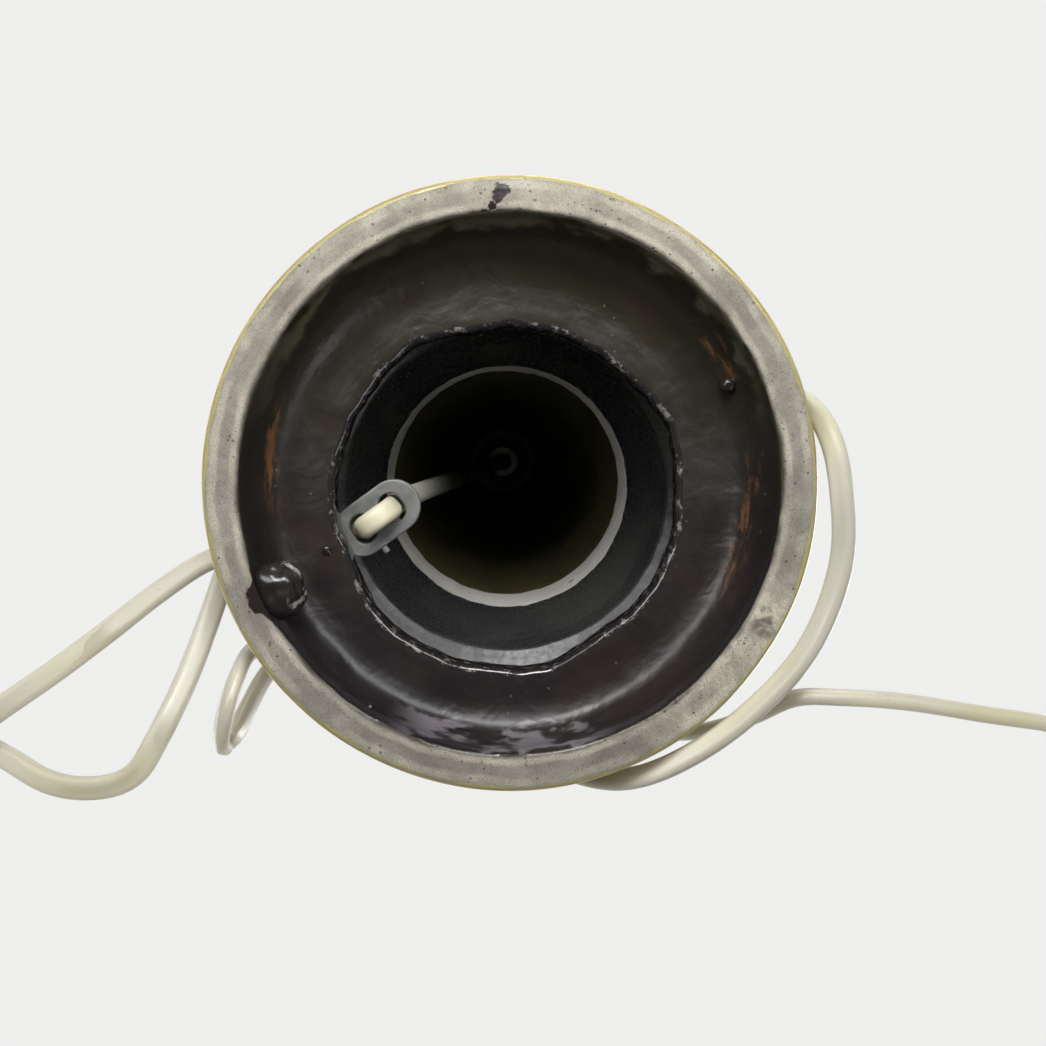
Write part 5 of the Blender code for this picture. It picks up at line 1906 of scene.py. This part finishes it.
@dataclass
class InsideFlex:
    """The flex inside the lamp, through the buckle's two holes and out at the side hole."""

    flex: Flex = field(default_factory=Flex)
    knots: Sequence[Sequence[float]] = (
        (0.0000, 0.0000, 0.2915, 0), (0.0000, 0.0000, 0.2650, 0), (0.0000, 0.0000, 0.2360, 0),
        (-0.0003, 0.0040, 0.2100, 0), (-0.0006, 0.0110, 0.1600, 0), (-0.0010, 0.0175, 0.1050, 0),
        (-0.0016, 0.0232, 0.0600, 0), (-0.0014, 0.0272, 0.0380, 0), (-0.0008, 0.0289, 0.0290, 0),
        (-0.0006, 0.0290, 0.0252, 0), (-0.0001, 0.0301, 0.0219, 0), (0.0010, 0.0330, 0.0205, 0),
        (0.0021, 0.0359, 0.0219, 0), (0.0026, 0.0370, 0.0252, 0), (0.0026, 0.0371, 0.0276, 0),
        (0.0023, 0.0384, 0.0300, 0), (0.0014, 0.0412, 0.0311, 0), (0.0004, 0.0455, 0.0307, 0),
        (0.0000, 0.0500, 0.0305, 30), (0.0000, 0.0534, 0.0305, 60),
    )

    def build(self) -> None:
        """Sweep the flex and dress its two cores."""
        rows = smooth_line(self.knots, 0.0009)
        add_piece(
            "flex_inside_lamp", self.flex.sweep(rows), INNER_FLEX_SKIN, ["cord_inside"],
        )
        dress_node("core_line", BROWN_CORE)
        dress_node("core_neutral", BLUE_CORE)


@dataclass
class StrainBuckle:
    """The frosted two-hole plate that stops the flex from being pulled out."""

    length: float = 0.0226
    width: float = 0.0130
    thickness: float = 0.0024
    hole_along: float = 0.0056
    hole_across: float = 0.0074
    spacing: float = 0.0087
    centre: Sequence[float] = (0.0010, 0.0330, 0.0259)
    bearing: float = math.radians(68.5)

    def oval(self, length: float, width: float, thickness: float) -> bmesh.types.BMesh:
        """A flat oval plate about its own centre.

        Args:
            length: Its length along X.
            width: Its width along Y.
            thickness: Its thickness.

        Returns:
            The plate.
        """
        bm = bmesh.new()
        bmesh.ops.create_circle(bm, cap_ends=True, segments=64, radius=width / 2)
        for vertex in bm.verts:
            vertex.co.x += math.copysign(
                (length - width) / 2, vertex.co.x,
            ) if abs(vertex.co.x) > WELD else 0
        extrude(bm, bm.faces[:], (0, 0, thickness))
        bmesh.ops.translate(bm, verts=bm.verts, vec=(0, 0, -thickness / 2))
        bmesh.ops.recalc_face_normals(bm, faces=bm.faces)
        return bm

    def build(self) -> None:
        """Build the plate, flatten one end, cut its holes and round its rims."""
        place = turn_matrix(self.centre, self.bearing)
        bm = self.oval(self.length, self.width, self.thickness)
        for vertex in bm.verts:
            over = vertex.co.x - (self.length / 2 - 0.0007)
            vertex.co.x -= max(0.0, over) * 0.7
        plate = add_piece("buckle_plate", bm, NYLON, ["cord_buckle"], place=place)
        cutters = []
        for end in (-1, 1):
            hole = self.oval(self.hole_across, self.hole_along, 0.010)
            local = Matrix.Translation(
                (end * self.spacing / 2, 0, 0)
            ) @ Matrix.Rotation(math.pi / 2, 4, "Z")
            bmesh.ops.transform(hole, matrix=place @ local, verts=hole.verts)
            cutters.append(hole)
        cut_with(plate, cutters)
        round_rims(plate, 0.00045)
        bm = lathe([(0, 0), (0.0009, 0), (0.0008, 0.0020), (0, 0.0022)], 24, 0.0002)
        nub = place @ Matrix.Translation(
            (0.0030, -self.width / 2 + 0.0004, 0)
        ) @ Matrix.Rotation(math.pi / 2, 4, "X")
        add_piece("buckle_sprue_nub", bm, NYLON, place=nub)


@dataclass
class Plug:
    """The plug on the end of the flex: a ribbed sleeve, a moulded body and two pins."""

    sleeve_length: float = 0.0240
    sleeve_radii: tuple[float, float] = (0.0034, 0.0052)
    rib_count: int = 7
    rib_pitch: float = 0.0030
    rib_depth: float = 0.0007
    body_length: float = 0.0355
    width: float = 0.0260
    thickness: float = 0.0137
    neck: tuple[float, float] = (0.0060, 0.0054)
    grips: tuple[float, float] = (0.18, 0.62)
    grip_pitch: float = 0.11
    grip_depth: float = 0.0005
    hole_radius: float = 0.0023
    hole_length: float = 0.0066
    pin_spread: float = 0.0093
    pin_sleeve_end: float = 0.0101
    pin_outline: Outline = field(default_factory=lambda: [
        (0, -0.0030), (0.0020, -0.0030), (0.0020, 0.0100), (0.00185, 0.0102), (0.00185, 0.0170),
        (0.0014, 0.0184), (0, 0.0190),
    ])

    def sleeve(self, place: Matrix) -> bpy.types.Object:
        """The ribbed sleeve round the end of the flex.

        Args:
            place: Its place, with Z along the flex.

        Returns:
            The sleeve.
        """
        thin, wide = self.sleeve_radii
        end = GAP + self.sleeve_length
        outline: Outline = [(0, GAP), (0.0031, GAP)]
        for i in range(self.rib_count):
            near, far = GAP + 0.0016 + i * self.rib_pitch, GAP + 0.0034 + i * self.rib_pitch
            r = thin + (wide - thin) * (near - GAP) / self.sleeve_length
            groove = r - self.rib_depth
            outline += [(r, near), (r, far), (groove, far + 0.0002), (groove, near + 0.0028)]
        outline += [(wide, end - 0.0008), (wide, end), (0, end)]
        bm = lathe(outline, 48, 0.0003)
        return add_piece(
            "plug_strain_sleeve", bm, PLUG_VINYL, ["plug_sleeve"], place=place,
        )

    def moulding(self, place: Matrix) -> bpy.types.Object:
        """The body, narrow at the sleeve and grooved for the fingers.

        Args:
            place: The place of its centre, with X along the flex.

        Returns:
            The body.
        """
        bm = bmesh.new()
        bmesh.ops.create_cube(bm, size=1)
        bmesh.ops.subdivide_edges(bm, edges=bm.edges[:], cuts=15, use_grid_fill=True)
        neck_y, neck_z = self.neck
        first, last = self.grips
        for vertex in bm.verts:
            t = vertex.co.x + 0.5
            half_y = neck_y + (self.width / 2 - neck_y) * (3 * t**2 - 2 * t**3)
            half_z = neck_z + (self.thickness / 2 - neck_z) * min(1.0, 1.25 * t)
            y, z = 2 * vertex.co.y, 2 * vertex.co.z
            grip = 0.0
            if first < t < last and abs(z) > 0.9 and abs(y) < 0.62:
                wave = math.sin(math.tau * (t - first) / self.grip_pitch)
                grip = self.grip_depth * max(0.0, wave)
            vertex.co = Vector((
                vertex.co.x * self.body_length, y * half_y * (1 - 0.05 * z**4),
                z * (half_z * (1 - 0.10 * y**4) - grip),
            ))
        bmesh.ops.recalc_face_normals(bm, faces=bm.faces)
        return add_piece(
            "plug_moulding", bm, PLUG_VINYL, ["plug_body"], sharp=180, place=place,
        )

    def prong(self, label: str, place: Matrix) -> bpy.types.Object:
        """One pin, sleeved in black by the body and bare at its end.

        Args:
            label: Its side.
            place: Its place, with Z out of the body.

        Returns:
            The pin.
        """
        bm = lathe(self.pin_outline, 40, 0.0002)
        for side in bm.faces:
            side.material_index = int(side.calc_center_median().z > self.pin_sleeve_end)
        return add_piece(
            f"plug_pin_shaft_{label}", bm, [BLACK_MOULDING, NICKEL],
            [f"plug_pin_{label}"], place=place,
        )

    def build(self, entry: Vector, heading: Vector) -> list[bpy.types.Object]:
        """Build the plug, lying on the floor.

        Args:
            entry: Where the flex ends.
            heading: Its direction there.

        Returns:
            The plug's pieces.
        """
        reach = GAP + self.sleeve_length + GAP + self.body_length
        tip = math.asin((entry.z - self.thickness / 2 - FLOOR_GAP) / reach)
        base = turn_matrix(tuple(entry), math.atan2(heading.y, heading.x), tip)
        upright = Matrix.Rotation(math.pi / 2, 4, "Y")
        pieces = [self.sleeve(base @ upright)]
        tail = 2 * GAP + self.sleeve_length
        body = self.moulding(base @ Matrix.Translation((tail + self.body_length / 2, 0, 0)))
        cutters = []
        for side, label in ((-1, "left"), (1, "right")):
            out = Matrix.Translation((tail + self.body_length, side * self.pin_spread, 0))
            place = base @ out @ upright
            hole = pin(self.hole_radius, self.hole_length, 32)
            bmesh.ops.transform(hole, matrix=place, verts=hole.verts)
            cutters.append(hole)
            pieces.append(self.prong(label, place))
        cut_with(body, cutters)
        round_rims(body, 0.0011)
        return [*pieces, body]


@dataclass
class FreeFlex:
    """The flex outside the lamp: over the floor, round the foot, round the waist and to its plug.

    A route's rows are bearing in degrees, distance from the axis, height, and how far the flat
    side is turned off the floor.
    """

    flex: Flex = field(default_factory=Flex)
    length: float = 1.70
    ledge: float = LEDGE_HEIGHT
    ledge_row_height: float = 0.0203
    floor_row_height: float = 0.0031
    winding_start: float = 412.0
    winding_end: float = -342.0
    winding_rows: int = 58
    winding_radius: float = 0.0583
    winding_height: float = 0.0253
    winding_pitch: float = 0.0052
    winding_climbs: tuple[float, float] = (75.0, -253.0)
    winding_climb_span: float = 18.0
    winding_roll: float = 72.0
    to_winding: Sequence[Sequence[float]] = (
        (90.0, 0.0537, 0.0305, 30), (90.0, 0.0610, 0.0305, 30), (90.0, 0.0690, 0.0293, 30),
        (89.4, 0.0770, 0.0260, 26), (86.9, 0.0875, 0.0185, 18), (84.3, 0.0980, 0.0095, 10),
        (82.3, 0.1100, 0.0038, 4), (80.9, 0.1236, 0.0026, 0), (79.6, 0.1383, 0.0026, 0),
        (78.5, 0.1515, 0.0026, 0), (78.7, 0.1601, 0.0026, 4), (80.2, 0.1668, 0.0026, 12),
        (82.9, 0.1688, 0.0028, 18), (85.3, 0.1650, 0.0032, 16), (86.2, 0.1574, 0.0046, 10),
        (85.2, 0.1497, 0.0066, 4), (82.6, 0.1424, 0.0090, 0), (76.1, 0.1293, 0.0066, 0),
        (72.0, 0.1226, 0.0034, 4), (69.2, 0.1161, 0.0026, 10), (67.3, 0.1092, 0.0026, 14),
        (67.1, 0.1040, 0.0026, 14), (68.4, 0.0985, 0.0032, 12), (73.4, 0.0870, 0.0118, 10),
        (83.0, 0.0746, 0.0202, 24), (97.0, 0.0640, 0.0212, 50), (114.0, 0.0592, 0.0203, 70),
        (145.0, 0.0588, 0.0203, 74), (180.0, 0.0588, 0.0203, 74), (215.0, 0.0588, 0.0203, 74),
        (243.0, 0.0590, 0.0203, 70), (258.0, 0.0622, 0.0203, 62), (266.5, 0.0680, 0.0172, 54),
        (271.5, 0.0716, 0.0118, 48), (277.5, 0.0726, 0.0050, 44), (286.0, 0.0735, 0.0026, 42),
        (298.5, 0.0756, 0.0026, 42), (314.0, 0.0757, 0.0026, 46), (330.0, 0.0737, 0.0026, 52),
        (343.0, 0.0727, 0.0036, 56), (352.0, 0.0729, 0.0084, 58), (358.0, 0.0720, 0.0136, 60),
        (366.0, 0.0680, 0.0182, 64), (378.0, 0.0612, 0.0203, 70), (394.0, 0.0588, 0.0203, 72),
        (408.0, 0.0588, 0.0203, 74), (418.0, 0.0598, 0.0203, 74), (426.0, 0.0626, 0.0203, 74),
        (431.0, 0.0674, 0.0198, 72), (431.2, 0.0728, 0.0160, 70), (429.2, 0.0766, 0.0098, 66),
        (426.2, 0.0815, 0.0060, 62), (423.6, 0.0868, 0.0078, 60), (422.2, 0.0900, 0.0135, 60),
        (422.0, 0.0886, 0.0200, 60), (423.6, 0.0836, 0.0246, 62), (425.8, 0.0762, 0.0266, 66),
        (426.6, 0.0692, 0.0269, 70), (424.0, 0.0636, 0.0267, 72), (418.6, 0.0600, 0.0260, 72),
    )
    to_plug: Sequence[Sequence[float]] = (
        (-353.0, 0.0594, 0.0357, 72), (-361.0, 0.0615, 0.0348, 72), (-367.5, 0.0655, 0.0316, 74),
        (-374.0, 0.0697, 0.0262, 76), (-379.5, 0.0730, 0.0210, 80), (-385.0, 0.0755, 0.0162, 84),
        (-391.0, 0.0777, 0.0118, 86), (-398.0, 0.0812, 0.0080, 88), (-402.0, 0.0880, 0.0046, 90),
        (-406.0, 0.1000, 0.0028, 90), (-409.2, 0.1180, 0.0026, 90), (-410.8, 0.1291, 0.0028, 90),
        (-411.5, 0.1354, 0.0030, 86), (-414.2, 0.1435, 0.0036, 70), (-417.8, 0.1480, 0.0048, 40),
        (-421.9, 0.1480, 0.0062, 12), (-423.4, 0.1471, 0.0066, 0),
    )

    def settle(self, height: float, roll: float) -> float:
        """Height of the flex's middle where it lies on the floor or on the ledge.

        Args:
            height: Height in the route.
            roll: How far the flat side is turned, in degrees.

        Returns:
            The height at which it rests.
        """
        half = self.flex.half_height(roll) + FLOOR_GAP
        if height < self.floor_row_height:
            return half
        return self.ledge + half if abs(height - self.ledge_row_height) < WELD else height

    def wound_rows(self) -> list[tuple[float, float, float, float]]:
        """Rows of the flex round the waist, a pitch higher after each climb.

        Returns:
            The rows, as in a route.
        """
        rows = []
        for i in range(self.winding_rows + 1):
            bearing = self.winding_start + (
                self.winding_end - self.winding_start
            ) * i / self.winding_rows
            height = self.winding_height
            for middle in self.winding_climbs:
                share = min(max((middle - bearing) / self.winding_climb_span + 0.5, 0.0), 1.0)
                height += self.winding_pitch * (3 * share**2 - 2 * share**3)
            rows.append((bearing, self.winding_radius, height, self.winding_roll))
        return rows

    def line(self) -> list[Vector]:
        """The whole route as x, y, z and roll, close together.

        Returns:
            The points.
        """
        rows = []
        for bearing, radius, height, roll in (*self.to_winding, *self.wound_rows(), *self.to_plug):
            angle = math.radians(bearing)
            place = (radius * math.cos(angle), radius * math.sin(angle), self.settle(height, roll))
            rows.append((*place, roll))
        return smooth_line(rows, 0.0020)

    def build(self) -> None:
        """Lay the flex and put on its plug."""
        line = self.line()
        cord = add_piece(
            "flex_outside_lamp", self.flex.sweep(line), FLEX_SKIN, ["cord_free"],
        )
        heading = line[-1].xyz - line[-2].xyz
        heading.z = 0
        pieces = Plug().build(line[-1].xyz, heading.normalized())
        run = sum((b.xyz - a.xyz).length for a, b in zip(line, line[1:]))
        LOG.info("flex_outside_lamp: %.3f m long", run)


# ---------------------------------------------------------------- stage, light and camera


@dataclass
class Stage:
    """A pale floor that shows only from above, plain light, and the photograph's camera."""

    floor_size: float = 8.0
    floor_drop: float = 0.0004
    floor_fade: tuple[float, float] = (0.35, 0.85)
    bounce_edge: tuple[float, float] = (0.085, 0.095)
    shade_edge: tuple[float, float] = (0.069, 0.073)
    shade_share: float = 0.42
    paper: Colour = (0.80, 0.80, 0.785)
    paper_mottle: float = 0.97
    backdrop: Colour = (0.86, 0.86, 0.85)
    horizon: tuple[float, float] = (-0.25, 0.05)
    mirrored_low: Colour = (0.030, 0.030, 0.034)
    spread_low: Colour = (0.24, 0.24, 0.245)
    spread_high: Colour = (0.50, 0.50, 0.51)
    foot_lamps: Sequence[tuple[str, float, float]] = (
        ("foot_key", 8, 1.75), ("foot_left", 58, 0.6), ("foot_right", -44, 0.7),
    )
    foot_lamp_reach: float = 0.25
    foot_lamp_size: float = 0.16
    over_lamps: Sequence[tuple[str, Sequence[float], float, float]] = (
        ("over_key", (0.75, -0.95, 1.35), 0.9, 15), ("over_fill", (-1.2, -0.5, 0.9), 1.0, 6),
        ("over_back", (0.3, 1.3, 1.1), 1.0, 6),
    )
    camera_place: Sequence[float] = (-0.0101, 0.0005, -0.2500)
    right: Sequence[float] = (0.2564, -0.9666, 0.0)
    up: Sequence[float] = (-0.9666, -0.2564, 0.0)
    lens: float = 39.2
    shift: tuple[float, float] = (0.0258, -0.0803)

    def floor(self) -> None:
        """The floor: seen from above, open from below, half shading what lies on it."""
        bm = bmesh.new()
        bmesh.ops.create_grid(bm, x_segments=1, y_segments=1, size=self.floor_size / 2)
        bmesh.ops.translate(bm, verts=bm.verts, vec=(0, 0, -self.floor_drop))
        mesh = bpy.data.meshes.new("floor")
        bm.to_mesh(mesh)
        bm.free()
        g = Graph("floor_paper")
        paths = g.nodes.new("ShaderNodeLightPath").outputs
        back = g.nodes.new("ShaderNodeNewGeometry").outputs["Backfacing"]
        away = g.ease(g.radius(), *self.bounce_edge)
        indirect = g.most(paths["Is Glossy Ray"], paths["Is Diffuse Ray"])
        bounced = g.times(indirect, away)
        bounced = g.times(bounced, g.step("SUBTRACT", 1.0, paths["Is Shadow Ray"]))
        fade = g.ease(g.radius(), self.floor_fade[1], self.floor_fade[0])
        near = g.times(paths["Is Camera Ray"], fade)
        dim = g.ease(g.radius(), *self.shade_edge, 0.0, self.shade_share)
        shade = g.times(paths["Is Shadow Ray"], dim)
        shown = g.most(g.most(near, bounced), shade)
        seen = g.times(shown, g.step("SUBTRACT", 1.0, back))
        darker = tuple(c * self.paper_mottle for c in self.paper)
        tint = g.mix(g.ease(g.noise(9, 3), 0.3, 0.7), self.paper, darker)
        g.finish(Base_Color=tint, Roughness=0.9, Specular_IOR_Level=0.1, Alpha=seen)
        mesh.materials.append(g.material)
        floor = bpy.data.objects.new("floor", mesh)
        bpy.context.scene.collection.objects.link(floor)

    def world(self) -> None:
        """Pale where it shows, dark below in reflections, and plain for what lights the lamp."""
        world = bpy.data.worlds.new("studio")
        world.use_nodes = True
        bpy.context.scene.world = world
        tree = Tree(world.node_tree)
        split = tree.nodes.new("ShaderNodeSeparateXYZ")
        tree.feed(split.inputs[0], tree.nodes.new("ShaderNodeTexCoord").outputs["Generated"])
        rise = tree.ease(split.outputs["Z"], *self.horizon)
        paths = tree.nodes.new("ShaderNodeLightPath").outputs
        direct = tree.most(paths["Is Glossy Ray"], paths["Is Transmission Ray"])
        mirrored = tree.mix(rise, self.mirrored_low, self.backdrop)
        spread = tree.mix(rise, self.spread_low, self.spread_high)
        chosen = tree.mix(direct, spread, mirrored)
        shown = tree.mix(paths["Is Camera Ray"], chosen, self.backdrop)
        tree.feed(tree.nodes["Background"].inputs["Color"], shown)

    def lamp(
        self, name: str, place: Sequence[float], aim: Sequence[float], size: float, power: float
    ) -> None:
        """A soft square lamp.

        Args:
            name: Its name.
            place: Where it stands.
            aim: Where it points.
            size: Its side.
            power: Its power in watts.
        """
        light = bpy.data.lights.new(name, "AREA")
        light.size, light.energy = size, power
        thing = bpy.data.objects.new(name, light)
        thing.location = place
        thing.rotation_euler = (Vector(aim) - Vector(place)).to_track_quat("-Z", "Y").to_euler()
        thing.visible_camera = False
        bpy.context.scene.collection.objects.link(thing)

    def lights(self) -> None:
        """A key and a fill under the foot, and three soft lamps over the floor."""
        up = Vector(self.up)
        right = Vector(self.right)
        reach = self.foot_lamp_reach
        for name, turn, power in self.foot_lamps:
            angle = math.radians(turn)
            out = up * math.cos(angle) - right * math.sin(angle)
            place = out * reach + Vector((0, 0, -reach))
            self.lamp(name, tuple(place), (0, 0, 0.03), self.foot_lamp_size, power)
        fill = right * 0.75 - up * 0.55 + Vector((0, 0, -0.70))
        self.lamp("foot_fill", tuple(fill), (0, 0, 0), 0.5, 2.0)
        for name, place, size, power in self.over_lamps:
            self.lamp(name, place, (0, 0, 0.15), size, power)

    def camera(self) -> None:
        """The photograph's camera, under the foot and looking up the lamp."""
        data = bpy.data.cameras.new("view")
        data.sensor_width = 36.0
        data.lens = self.lens
        data.shift_x, data.shift_y = self.shift
        data.clip_start = 0.01
        camera = bpy.data.objects.new("view", data)
        axes = Matrix((self.right, self.up, (0, 0, -1))).transposed().to_4x4()
        camera.matrix_world = Matrix.Translation(self.camera_place) @ axes
        bpy.context.scene.collection.objects.link(camera)
        bpy.context.scene.camera = camera

    def build(self) -> None:
        """Set the stage."""
        bpy.context.scene.view_settings.view_transform = "Standard"
        self.floor()
        self.world()
        self.lights()
        self.camera()


def main() -> None:
    """Build the lamp and its stage."""
    logging.basicConfig(level=logging.INFO, format="%(name)s: %(message)s")
    Stage().build()
    FreeFlex().build()
    InsideFlex().build()
    StrainBuckle().build()
    StonewareBody().build()
    TubeStack().build()
    Lampholder().build()
    PushSwitch().build()


if __name__ == "__main__":
    main()
